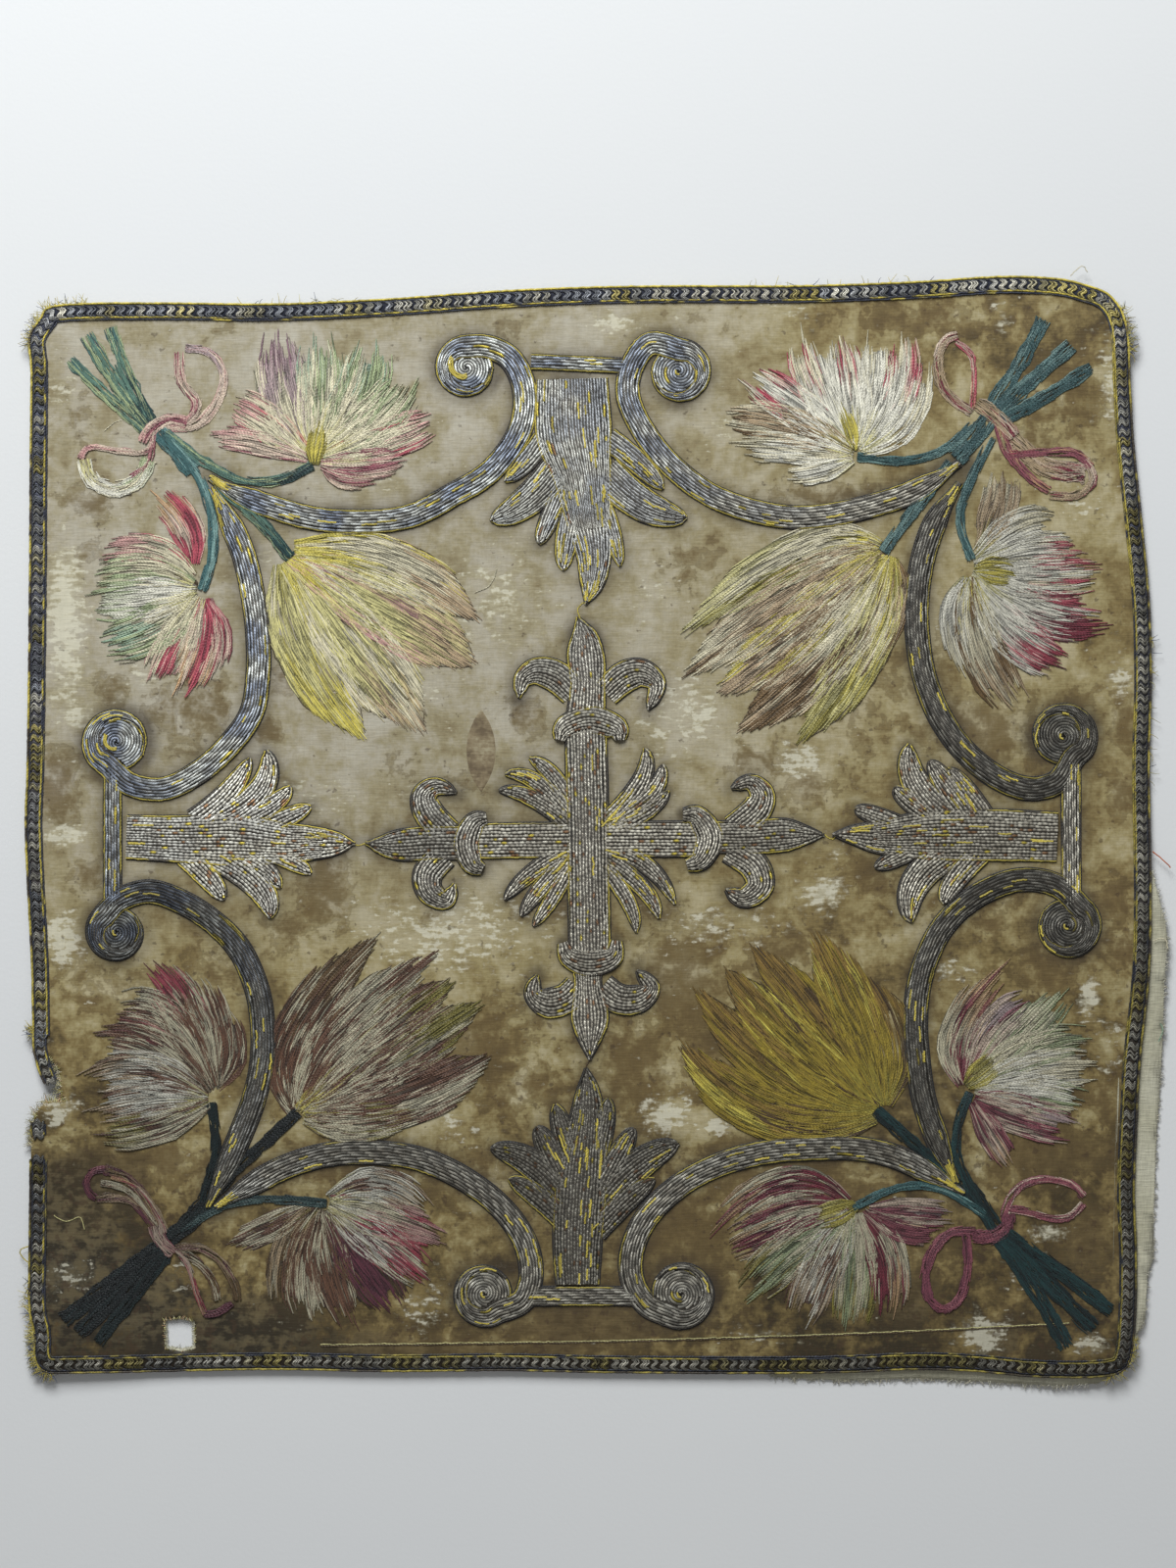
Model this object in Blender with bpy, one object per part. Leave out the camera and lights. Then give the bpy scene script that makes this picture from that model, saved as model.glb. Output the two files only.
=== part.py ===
"""An antique chalice veil, lying flat with its worked face up.

A square of silk is backed with linen, edged with one length of braid and worked in
raised metal thread: a cross, four palmettes and eight scrolls that are linked by bars.

The frame has +X to the right and +Y to the top of the worked face, with +Z up.
The origin is under the middle of the veil, on the surface that it lies on.
Every length in the tables and constants is in millimetres.
"""

import math
from collections import Counter, namedtuple

import bmesh
import bpy
from mathutils import Vector
from mathutils.geometry import delaunay_2d_cdt

METRES = 0.001  # metres in a millimetre

# Driving dimensions
LINEN_THICKNESS = 1.0
SILK_THICKNESS = 1.0
BRAID_THICKNESS = 1.4
RAISED_THICKNESS = 1.8  # metal thread over its padding
LAYER_GAP = 0.3
MOTIF_GAP = 0.5  # sideways, from a motif to the one that it meets
BRAID_WIDTH = 9.0
CLOTH_INSET = 0.8  # how far the silk stops short of the braid's outer edge
SCROLL_WIDTH = 12.0
SCROLL_ROOT_SHARE = 0.35  # a scroll's ribbon starts at this share of its width
SCROLL_ROOT_GROWTH = 0.2  # and gains this share at each point
BLADE_TIP_HALF_WIDTH = 0.5
FIELD_REACH = 300  # the veil lies within this distance of the frame's axes

# Spacing of the points that the shapes are built from
EDGE_STEP = 12.0
RIBBON_STEP = 8.0
LIFT_STEP = 14.0
DISC_SIDES = 24
BLADE_STATIONS = 6
MERGE_DISTANCE = 0.01
OUTLINE_TOLERANCE = 0.2  # how far an outline may stray where it has fewer points
MOST_RUN = 60.0  # the longest side that an outline is given so
FOLD_SHARE = 0.97  # an inset point nearer its line than this share of the inset is folded over

# Heights of the layers above the linen's underside
SILK_LEVEL = LINEN_THICKNESS + LAYER_GAP
FACE_LEVEL = SILK_LEVEL + SILK_THICKNESS + LAYER_GAP

# The braid's outer edge, from below the tear in the left side round to above it:
# down the left side, along the bottom, up the right side and back along the top.
BRAID_EDGE = (
    (-280, -162), (-280.5, -198), (-280.5, -234), (-278, -248), (-277.5, -261), (-272, -267.5),
    (-257, -268), (-218, -267.5), (-161, -266.5), (-103, -267.5), (-46, -267), (4, -268),
    (82, -268.5), (121, -268), (159, -266.5), (188, -267.5), (216, -270), (246, -270),
    (260, -267), (265, -258), (267, -236), (267.5, -207), (266.5, -178), (268, -140),
    (269.5, -111), (273.5, -70), (274.5, -25), (274, 36), (275, 74), (274, 113),
    (270.5, 151), (266.5, 189), (264.5, 218), (262.5, 249), (255, 264), (242, 270),
    (226, 273.5), (198, 274.5), (159, 272), (101, 270), (44, 270), (4, 269.5),
    (-46, 267.5), (-103, 263.5), (-161, 261), (-218, 261.5), (-266, 260), (-275, 253),
    (-280.5, 243), (-279.5, 228), (-280, 189), (-280.5, 113), (-281.5, 36), (-282.5, 4),
    (-281.5, -25), (-279.5, -63), (-278.5, -101),
)

# The ragged notch where the left side is torn, from its upper lip to its lower one
TEAR = (
    (-277, -106), (-270, -112), (-265, -118), (-264.5, -129), (-261.5, -133),
    (-272, -133.5), (-276.5, -139), (-278.5, -146), (-279, -155),
)

# The braid's loose end at the upper lip, and the scrap of it that is left at the lower one
BRAID_TAIL = (
    (-278.4, -99), (-278.5, -105), (-277, -116), (-274, -121), (-272.5, -125),
    (-271, -125), (-269, -121), (-268.5, -116), (-267, -105), (-269.6, -99),
)
BRAID_SCRAP = ((-279.5, -143), (-271, -143.5), (-270.5, -149), (-279, -150.5))

# Where the linen shows past the braid, on the right and along the bottom
LINEN_RIGHT = (
    (260, -10), (275, -20), (281.5, -45), (282.5, -54), (281, -74), (280.5, -96),
    (279.5, -122), (277.5, -151), (276, -190), (276, -211), (273, -219), (271.5, -241),
    (266, -252), (255, -252),
)
LINEN_BOTTOM = (
    (90, -262), (86, -270), (122, -272), (161, -271), (200, -273), (229, -274.5),
    (248, -273), (258, -268), (255, -262),
)

# The hole worn through both cloths; the linen's threads reach a little further in
HOLE = ((-213.5, -241.5), (-206, -240.5), (-198.5, -242), (-198, -256), (-205, -257.5), (-213, -256))
LINEN_HOLE_SHARE = 0.86

# Places where the cloth stands clear of the surface: a round swell of the given reach
Lift = namedtuple("Lift", "place x y reach height")
LIFTS = (
    Lift("right edge, below the middle", 276, -60, 78, 2.6),
    Lift("top right corner", 258, 262, 72, 2.4),
    Lift("top left corner", -272, 256, 64, 1.8),
    Lift("bottom left corner", -272, -262, 66, 1.8),
    Lift("bottom right corner", 262, -262, 68, 2.2),
    Lift("torn lip", -276, -128, 62, 2.0),
    Lift("between the scroll and the cross, upper left", -110, 85, 70, 0.9),
    Lift("between the scroll and the cross, lower right", 112, -88, 70, 0.9),
)

# Each scroll is a ribbon that ends in a coiled disc: the disc's centre and radius, and
# the ribbon's middle line from the bunch of flowers to where it joins the disc.
Scroll = namedtuple("Scroll", "name centre radius route")
SCROLLS = (
    Scroll("scroll_top_left", (-64, 229), 16.5, (
        (-191, 175), (-176, 166), (-142, 155), (-113, 153), (-91, 156), (-71, 166),
        (-52, 178), (-38, 197), (-35, 216), (-41, 232), (-52, 239), (-64, 240),
    )),
    Scroll("scroll_top_right", (41, 227), 17, (
        (180, 182), (165, 172), (150, 165), (125, 158), (101, 155), (79, 158),
        (57, 166), (38, 180), (24, 197), (16, 215), (18, 230), (27, 241), (41, 240),
    )),
    Scroll("scroll_left_top", (-237, 44), 18, (
        (-190, 170), (-182, 155), (-174, 136), (-169, 113), (-167, 94), (-167, 78),
        (-170, 59), (-180, 44), (-195, 30), (-213, 21), (-230, 23), (-243, 31),
    )),
    Scroll("scroll_left_bottom", (-237, -50), 16, (
        (-192, -186), (-184, -169), (-176, -151), (-169, -132), (-165, -113), (-165, -94),
        (-168, -77), (-176, -59), (-188, -46), (-203, -36), (-220, -30), (-235, -34), (-244, -41),
    )),
    Scroll("scroll_right_top", (231, 47), 18, (
        (180, 172), (169, 155), (162, 136), (159, 116), (159, 98), (162, 78),
        (169, 59), (180, 42), (196, 28), (213, 21), (228, 24), (238, 33),
    )),
    Scroll("scroll_right_bottom", (233, -47), 17.5, (
        (178, -174), (169, -153), (162, -132), (159, -111), (158, -94), (160, -75),
        (167, -55), (178, -40), (194, -29), (211, -24), (228, -27), (240, -36),
    )),
    Scroll("scroll_bottom_left", (-55, -229), 17, (
        (-188, -186), (-172, -176), (-153, -166), (-132, -160), (-111, -159), (-88, -162),
        (-67, -171), (-48, -185), (-36, -201), (-32, -218), (-36, -232), (-46, -240),
    )),
    Scroll("scroll_bottom_right", (42, -229), 18, (
        (182, -179), (167, -170), (148, -161), (129, -157), (105, -157), (83, -159),
        (61, -165), (42, -175), (26, -190), (18, -207), (18, -222), (25, -234), (35, -240),
    )),
)

# The short bars that link two scrolls behind a palmette: the middle line's two ends
Bar = namedtuple("Bar", "name start end half_width")
BARS = (
    Bar("bar_top", (-30, 232), (14, 230), 4.0),
    Bar("bar_left", (-239, 30), (-239, -36), 4.6),
    Bar("bar_right", (235, 32), (235, -34), 4.9),
    Bar("bar_bottom", (-32, -230), (22, -230), 4.9),
)

# A blade of metal thread: a blunt leaf that bends through three points, given at its widest
Blade = namedtuple("Blade", "root middle tip half_width")
# A body has a station for each row: its place on the middle line and its half width
Station = namedtuple("Station", "x y half_width")

Palmette = namedtuple("Palmette", "name body blades")
PALMETTES = (
    Palmette("palmette_top", (
        Station(-12, 223.5, 18), Station(-11, 197, 19), Station(-7, 177, 15), Station(-4, 157, 12),
        Station(-1, 137, 9), Station(-2, 122, 6), Station(-5, 112, 0.6),
    ), (
        Blade((-26, 194), (-35, 182), (-45, 173), 4.5),
        Blade((-19, 180), (-34, 163), (-52, 153.5), 7.5),
        Blade((-17, 168), (-24, 152), (-28, 142), 4.0),
        Blade((-12, 157), (-15, 141), (-16, 129), 4.8),
        Blade((4, 160), (9, 145), (12, 131), 3.5),
        Blade((6, 194), (22, 181), (33, 169), 5.0),
        Blade((4, 178), (24, 161), (45, 155), 8.0),
    )),
    Palmette("palmette_left", (
        Station(-232, -3, 11), Station(-203, -4, 12), Station(-179, -4, 13.5), Station(-154, -6, 10.5),
        Station(-142, -6, 9), Station(-128, -6, 6), Station(-119, -6, 0.6),
    ), (
        Blade((-199, 5), (-182, 19), (-171, 36), 5.0),
        Blade((-189, 4), (-166, 20), (-163, 40), 6.0),
        Blade((-176, 5), (-160, 13), (-151, 22), 4.5),
        Blade((-163, 2), (-150, 8), (-141, 12), 4.0),
        Blade((-163, -10), (-149, -16), (-141, -21), 3.5),
        Blade((-178, -11), (-164, -19), (-156, -28), 4.5),
        Blade((-188, -12), (-167, -27), (-161, -43), 6.5),
        Blade((-203, -12), (-191, -24), (-184, -34), 5.0),
    )),
    Palmette("palmette_right", (
        Station(228, -3, 12.5), Station(194, -2, 13), Station(166, -2, 12.5), Station(142, -3, 9),
        Station(127, -2, 5), Station(117, -2, 0.6),
    ), (
        Blade((192, 8), (182, 22), (174, 31), 4.0),
        Blade((186, 7), (174, 22), (165, 35), 5.5),
        Blade((175, 6), (158, 24), (155, 43), 6.5),
        Blade((170, 5), (155, 15), (148, 22), 4.5),
        Blade((152, 2), (137, 8), (128, 11), 4.0),
        Blade((159, -8), (147, -14), (138, -18), 3.8),
        Blade((176, -10), (158, -26), (156, -45), 7.0),
        Blade((190, -11), (177, -25), (172, -36), 5.0),
    )),
    Palmette("palmette_bottom", (
        Station(-9, -224, 11), Station(-9, -200, 12.5), Station(-7, -171, 13), Station(-5, -151, 10.5),
        Station(-4, -137, 8), Station(-4, -126, 5), Station(-5, -117, 0.6),
    ), (
        Blade((-15, -193), (-31, -179), (-43, -172), 5.0),
        Blade((-14, -184), (-31, -165), (-52, -157), 7.0),
        Blade((-13, -176), (-23, -158), (-29, -146), 5.5),
        Blade((-9, -168), (-16, -149), (-20, -135), 5.0),
        Blade((-1, -166), (4, -146), (6, -132), 4.5),
        Blade((0, -182), (11, -161), (19, -147), 5.0),
        Blade((1, -186), (20, -166), (41, -154.5), 7.5),
        Blade((0, -198), (16, -182), (29, -172), 5.0),
    )),
)

# The cross: its two bars, the collar near each end, the leaf past each collar with a hook on
# each side of it, and the rays in its four angles
CROSS_BODIES = {
    "upright": (Station(-5, 51, 10.5), Station(-4, 0, 10.5), Station(-3, -60, 10.5)),
    "arms": (Station(-60, -5, 9), Station(0, -4, 9), Station(52, -4, 9)),
    "collar_top": (
        Station(-18, 45, 2), Station(-15, 51, 5), Station(-3, 55, 6), Station(10, 51, 5), Station(12, 45, 2),
    ),
    "collar_bottom": (
        Station(-16, -55, 2), Station(-13, -62, 4.5), Station(-3, -65, 6), Station(8, -62, 4.5),
        Station(10, -54, 2),
    ),
    "collar_left": (
        Station(-54, 6, 2), Station(-60, 4, 4.5), Station(-64, -6, 5.5), Station(-61, -16, 4.5),
        Station(-56, -19, 2),
    ),
    "collar_right": (
        Station(43, 8, 2), Station(50, 7, 4.5), Station(56, -3, 6), Station(52, -14, 4.5),
        Station(45, -17, 2),
    ),
    "leaf_top": (
        Station(-5, 56, 10), Station(-4, 72, 9), Station(-5, 86, 9.5), Station(-6, 96, 7),
        Station(-9, 106, 0.6),
    ),
    "leaf_bottom": (
        Station(-4, -65, 8), Station(-4, -76, 7), Station(-3, -91, 9.5), Station(-3, -101, 7),
        Station(-3, -113, 0.6),
    ),
    "leaf_left": (
        Station(-66, -6, 8.5), Station(-82, -6, 8.5), Station(-97, -7, 8), Station(-106, -7, 5),
        Station(-114, -6, 0.6),
    ),
    "leaf_right": (
        Station(58, -3, 8), Station(76, -3, 8.5), Station(93, -2, 8.5), Station(104, -2, 5),
        Station(113, -2, 0.6),
    ),
    "hook_top_left": (
        Station(-11, 68, 4), Station(-19, 76, 5.5), Station(-29, 79, 5.5), Station(-36, 75, 4),
        Station(-38, 66, 1.2),
    ),
    "hook_top_right": (
        Station(5, 68, 4), Station(14, 76, 5.5), Station(23, 78, 5.5), Station(30, 72, 4),
        Station(26, 60, 1.2),
    ),
    "hook_bottom_left": (
        Station(-9, -77, 4), Station(-15, -83, 5), Station(-24, -85, 6), Station(-31, -80, 4),
        Station(-29, -71, 1.2),
    ),
    "hook_bottom_right": (
        Station(3, -77, 4), Station(11, -83, 5), Station(21, -83, 5.5), Station(27, -77, 4),
        Station(20, -69, 1.2),
    ),
    "hook_left_top": (
        Station(-73, -1, 4), Station(-82, 8, 5), Station(-85, 17, 5), Station(-79, 22, 4),
        Station(-69, 19, 1.2),
    ),
    "hook_left_bottom": (
        Station(-75, -12, 4), Station(-83, -21, 5), Station(-82, -30, 5), Station(-74, -34, 4),
        Station(-70, -26, 1.2),
    ),
    "hook_right_top": (
        Station(68, 1, 4), Station(79, 10, 5), Station(82, 18, 5), Station(76, 24, 3.5), Station(67, 21, 1.2),
    ),
    "hook_right_bottom": (
        Station(66, -9, 4), Station(78, -17, 5), Station(81, -27, 5.5), Station(73, -33, 4.5),
        Station(64, -29, 1.2),
    ),
}
CROSS_RAYS = (
    Blade((-12, 2), (-31, 16), (-48, 20), 4.0),
    Blade((-12, 6), (-29, 24), (-45, 28), 4.0),
    Blade((-12, 12), (-22, 28), (-33, 36), 4.0),
    Blade((3, 2), (22, 24), (24, 41), 4.5),
    Blade((3, 2), (26, 17), (33, 33), 4.5),
    Blade((3, 1), (23, 9), (36, 20), 4.5),
    Blade((-12, -9), (-31, -20), (-45, -34), 4.0),
    Blade((-12, -12), (-27, -28), (-37, -42), 4.0),
    Blade((-12, -16), (-22, -34), (-31, -47), 3.5),
    Blade((3, -8), (25, -17), (39, -36), 4.0),
    Blade((3, -12), (23, -28), (31, -43), 4.0),
    Blade((3, -16), (16, -35), (20, -50), 3.5),
)

# Colour, roughness and metallic value of each material
Finish = namedtuple("Finish", "name colour roughness metallic")
LINEN = Finish("undyed linen", (0.47, 0.43, 0.31), 0.9, 0.0)
SILK = Finish("worn silk", (0.19, 0.155, 0.085), 0.55, 0.0)
BRAID = Finish("tarnished braid", (0.10, 0.10, 0.10), 0.5, 0.5)
METAL_THREAD = Finish("tarnished metal thread", (0.22, 0.21, 0.19), 0.45, 0.6)


def clear_scene():
    for thing in list(bpy.data.objects):
        bpy.data.objects.remove(thing)


def lift(x, y):
    """How far the cloth's underside stands off the surface at a place."""
    height = 0.0
    for swell in LIFTS:
        share = math.dist((x, y), (swell.x, swell.y)) / swell.reach
        if share < 1:
            height += swell.height * (1 - share**2) ** 2
    return height


def lifted_points():
    """A square grid of points over the swells, so that every layer bends the same way there."""
    most = math.ceil(FIELD_REACH / LIFT_STEP)
    steps = range(-most, most + 1)
    grid = ((column * LIFT_STEP, row * LIFT_STEP) for column in steps for row in steps)
    return [place for place in grid if lift(*place) > 0]


def between(before, start, end, after, t):
    """A Catmull-Rom spline's value, from start where t is 0 to end where t is 1."""
    slope_at_start = (end - before) / 2
    slope_at_end = (after - start) / 2
    square_term = 3 * (end - start) - 2 * slope_at_start - slope_at_end
    cube_term = 2 * (start - end) + slope_at_start + slope_at_end
    return start + slope_at_start * t + square_term * t**2 + cube_term * t**3


def smooth_line(points, step):
    """A smooth line through the points, as points about one step apart.

    Any further columns of a row change as smoothly as its place does.
    """
    line = []
    last = len(points) - 1
    for i in range(last):
        before, start, end, after = points[max(i - 1, 0)], points[i], points[i + 1], points[min(i + 2, last)]
        pieces = max(1, round(math.dist(start[:2], end[:2]) / step))
        for piece in range(pieces):
            columns = zip(before, start, end, after, strict=True)
            line.append(tuple(between(*column, piece / pieces) for column in columns))
    line.append(tuple(points[-1]))
    return line


def left_of(line, i):
    """The unit direction to the left of a line of points, at one of them."""
    before, after = line[max(i - 1, 0)], line[min(i + 1, len(line) - 1)]
    x, y = after[0] - before[0], after[1] - before[1]
    length = math.hypot(x, y)
    return -y / length, x / length


def beside(line, i, distance):
    """The point that lies a distance to the left of a line of points, at one of them."""
    x, y = left_of(line, i)
    return line[i][0] + distance * x, line[i][1] + distance * y


def inset_line(line, distance):
    """The line moved to its left, without the points that a tight corner would fold over."""
    moved = [beside(line, i, distance) for i in range(len(line))]
    nearest = FOLD_SHARE * distance
    return [point for point in moved if min(math.dist(point, other) for other in line) > nearest]


def lengthened(stations, spread):
    """The rows of a middle line, with its two ends moved outwards."""
    moved = [tuple(row) for row in stations]
    for end, inner in ((0, 1), (-1, -2)):
        x, y, half_width = stations[end]
        inner_x, inner_y = stations[inner][:2]
        share = spread / math.dist((x, y), (inner_x, inner_y))
        moved[end] = (x + (x - inner_x) * share, y + (y - inner_y) * share, half_width)
    return moved


def ribbon(stations, spread=0.0):
    """Quads along a middle line whose rows are x, y and half width, wider all round by a spread."""
    quads = []
    stations = lengthened(stations, spread)
    edges = [
        (beside(stations, i, row[2] + spread), beside(stations, i, -row[2] - spread))
        for i, row in enumerate(stations)
    ]
    for (left, right), (next_left, next_right) in zip(edges, edges[1:], strict=False):
        quads.append([left, right, next_right, next_left])
    return quads


def disc(centre, radius):
    turns = [2 * math.pi * side / DISC_SIDES for side in range(DISC_SIDES)]
    return [(centre[0] + radius * math.cos(turn), centre[1] + radius * math.sin(turn)) for turn in turns]


def blade(leaf):
    """Quads of a leaf that bends through its three points and narrows to a blunt tip."""
    stations = []
    for i in range(BLADE_STATIONS + 1):
        t = i / BLADE_STATIONS
        x, y = (
            (1 - t) * (1 - 2 * t) * root + 4 * t * (1 - t) * middle + t * (2 * t - 1) * tip
            for root, middle, tip in zip(leaf.root, leaf.middle, leaf.tip, strict=True)
        )
        half_width = max(BLADE_TIP_HALF_WIDTH, leaf.half_width * math.sqrt(1 - t**3))
        stations.append((x, y, half_width))
    return ribbon(stations)


def scroll_shapes(scroll, spread=0.0):
    """The polygons of a scroll, wider all round by a spread. Its ribbon starts narrow."""
    stations = []
    for i, (x, y) in enumerate(smooth_line(scroll.route, RIBBON_STEP)):
        share = min(1, SCROLL_ROOT_SHARE + SCROLL_ROOT_GROWTH * i)
        stations.append((x, y, SCROLL_WIDTH / 2 * share))
    return [*ribbon(stations, spread), disc(scroll.centre, scroll.radius + spread)]


def bar_shapes(bar, spread=0.0):
    return ribbon([(*bar.start, bar.half_width), (*bar.end, bar.half_width)], spread)


def body_shapes(body):
    return ribbon(smooth_line(body, RIBBON_STEP))


def counter_clockwise(polygon):
    twice_area = sum(
        a[0] * b[1] - b[0] * a[1] for a, b in zip(polygon, [*polygon[1:], polygon[0]], strict=True)
    )
    return polygon if twice_area > 0 else polygon[::-1]


def overlay(added, cut=(), inner=()):
    """The points and triangles of the plan shape that lies in any added polygon and in no cut one.

    The inner points become corners of its triangles.
    """
    places, polygons = [], []
    for polygon in (*added, *cut):
        polygons.append(range(len(places), len(places) + len(polygon)))
        places.extend(counter_clockwise(polygon))
    places.extend(inner)
    found = delaunay_2d_cdt([Vector(place) for place in places], [], polygons, 0, MERGE_DISTANCE)
    points, triangles, sources = found[0], found[2], found[5]
    first_cut = len(added)
    kept = [
        tuple(triangle)
        for triangle, source in zip(triangles, sources, strict=True)
        if source and max(source) < first_cut
    ]
    return [tuple(point) for point in points], kept


def outlines(points, triangles):
    """The closed loops round a set of triangles, the longest first."""
    sides = {side for triangle in triangles for side in sides_of(triangle)}
    after = {start: end for start, end in sides if (end, start) not in sides}
    loops = []
    while after:
        start, end = after.popitem()
        loop = [start]
        while end != start:
            loop.append(end)
            end = after.pop(end)
        loops.append([points[number] for number in loop])
    return sorted(loops, key=length_round, reverse=True)


def length_round(loop):
    return sum(math.dist(a, b) for a, b in zip(loop, [*loop[1:], loop[0]], strict=True))


def plainer(loop):
    """The loop without the points that lie almost on the line between their neighbours."""
    kept = list(loop)
    i = 0
    while i < len(kept) and len(kept) > 3:
        before, point, after = kept[i - 1], kept[i], kept[(i + 1) % len(kept)]
        run = math.dist(before, after)
        off = abs(
            (after[0] - before[0]) * (point[1] - before[1]) - (after[1] - before[1]) * (point[0] - before[0])
        )
        if run < MOST_RUN and off < OUTLINE_TOLERANCE * run:
            del kept[i]
        else:
            i += 1
    return kept


def stepped(loop):
    """The loop with further points on its long sides where the cloth is lifted."""
    points = []
    for start, end in zip(loop, [*loop[1:], loop[0]], strict=True):
        pieces = math.ceil(math.dist(start, end) / EDGE_STEP)
        steps = [
            tuple(a + (b - a) * piece / pieces for a, b in zip(start, end, strict=True))
            for piece in range(pieces)
        ]
        points += [steps[0], *(step for step in steps[1:] if lift(*step) > 0)]
    return points


def region(added, cut=()):
    """The plan shape that lies in any added polygon and in no cut one: its points and triangles.

    Where the result falls apart, only the piece with the longest outline is kept.
    """
    loops = [stepped(plainer(loop)) for loop in outlines(*overlay(added, cut))]
    holes = [loop for loop in loops[1:] if is_inside(loop[0], loops[0])]
    return overlay(loops[:1], holes, lifted_points())


def is_inside(point, loop):
    x, y = point
    inside = False
    for (ax, ay), (bx, by) in zip(loop, [*loop[1:], loop[0]], strict=True):
        if (ay > y) != (by > y) and x < (bx - ax) * (y - ay) / (by - ay) + ax:
            inside = not inside
    return inside


def sides_of(triangle):
    a, b, c = triangle
    return (a, b), (b, c), (c, a)


def layer(name, shape, level, thickness, finish):
    """An object with a plan shape, whose underside follows the swells at a level above them."""
    points, triangles = shape
    mesh = bmesh.new()
    lower, upper = {}, {}
    for number in sorted({corner for triangle in triangles for corner in triangle}):
        x, y = points[number]
        low = lift(x, y) + level
        lower[number] = mesh.verts.new((x * METRES, y * METRES, low * METRES))
        upper[number] = mesh.verts.new((x * METRES, y * METRES, (low + thickness) * METRES))
    for a, b, c in triangles:
        mesh.faces.new((upper[a], upper[b], upper[c]))
        mesh.faces.new((lower[c], lower[b], lower[a]))
    uses = Counter(frozenset(side) for triangle in triangles for side in sides_of(triangle))
    for triangle in triangles:
        for start, end in sides_of(triangle):
            if uses[frozenset((start, end))] == 1:
                mesh.faces.new((lower[start], lower[end], upper[end], upper[start]))
    bmesh.ops.recalc_face_normals(mesh, faces=mesh.faces)
    data = bpy.data.meshes.new(name)
    mesh.to_mesh(data)
    mesh.free()
    data.materials.append(material(finish))
    piece = bpy.data.objects.new(name, data)
    bpy.context.scene.collection.objects.link(piece)
    return piece


def material(finish):
    """The Principled material of a finish, made once."""
    made = bpy.data.materials.get(finish.name)
    if made is None:
        made = bpy.data.materials.new(finish.name)
        made.use_nodes = True
        shader = made.node_tree.nodes["Principled BSDF"]
        shader.inputs["Base Color"].default_value = (*finish.colour, 1)
        shader.inputs["Roughness"].default_value = finish.roughness
        shader.inputs["Metallic"].default_value = finish.metallic
    return made


def shrunk(polygon, share):
    """The polygon drawn in towards its middle, to a share of its size."""
    middle = [sum(column) / len(polygon) for column in zip(*polygon, strict=True)]
    return [
        tuple(m + share * (value - m) for value, m in zip(point, middle, strict=True)) for point in polygon
    ]


def cloth_outline():
    """The edge of the silk: just inside the braid's edge, and in along the tear."""
    return [*inset_line(smooth_line(BRAID_EDGE, EDGE_STEP), CLOTH_INSET), *TEAR]


def build_linen():
    shape = region([cloth_outline(), LINEN_RIGHT, LINEN_BOTTOM], [shrunk(HOLE, LINEN_HOLE_SHARE)])
    layer("linen_backing", shape, 0, LINEN_THICKNESS, LINEN)


def build_silk():
    layer("silk_ground", region([cloth_outline()], [HOLE]), SILK_LEVEL, SILK_THICKNESS, SILK)


def build_braid():
    """The one length of braid round the edge, with its loose end, and the scrap beside the tear."""
    outer = smooth_line(BRAID_EDGE, EDGE_STEP)
    inner = inset_line(outer, BRAID_WIDTH)
    run = region([[*outer, *reversed(inner)], BRAID_TAIL])
    layer("edge_braid", run, FACE_LEVEL, BRAID_THICKNESS, BRAID)
    layer("braid_scrap", region([BRAID_SCRAP]), FACE_LEVEL, BRAID_THICKNESS, BRAID)


def raised(name, shape):
    """A motif of metal thread over padding, on the silk's face."""
    layer(name, shape, FACE_LEVEL, RAISED_THICKNESS, METAL_THREAD)


def build_scrolls():
    """Two scrolls start side by side at each corner's bunch, and the second one makes room there."""
    built = []
    for scroll in SCROLLS:
        raised(scroll.name, region(scroll_shapes(scroll), built))
        built += scroll_shapes(scroll, MOTIF_GAP)


def build_bars():
    """Each bar stops just short of the two scrolls that it links."""
    scrolls = [shape for scroll in SCROLLS for shape in scroll_shapes(scroll, MOTIF_GAP)]
    for bar in BARS:
        raised(bar.name, region(bar_shapes(bar), scrolls))


def build_palmettes():
    """Each palmette fits between its two scrolls, just clear of them and of its bar."""
    neighbours = [shape for scroll in SCROLLS for shape in scroll_shapes(scroll, MOTIF_GAP)]
    neighbours += [shape for bar in BARS for shape in bar_shapes(bar, MOTIF_GAP)]
    for palmette in PALMETTES:
        leaves = [shape for leaf in palmette.blades for shape in blade(leaf)]
        raised(palmette.name, region([*body_shapes(palmette.body), *leaves], neighbours))


def build_cross():
    shapes = [shape for body in CROSS_BODIES.values() for shape in body_shapes(body)]
    shapes += [shape for ray in CROSS_RAYS for shape in blade(ray)]
    raised("cross", region(shapes))


def main():
    clear_scene()
    build_linen()
    build_silk()
    build_braid()
    build_scrolls()
    build_bars()
    build_palmettes()
    build_cross()


main()
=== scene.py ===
"""Looks of an antique chalice veil: worn silk, worked in raised metal thread and painted with the needle.

Lengths in the tables and in the functions that lay threads are in millimetres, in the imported
model's frame: +X to the right and +Y to the top of the worked face, with +Z up.
"""

import math
from collections import namedtuple

import bpy
import numpy as np
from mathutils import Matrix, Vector
from mathutils.geometry import delaunay_2d_cdt


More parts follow.
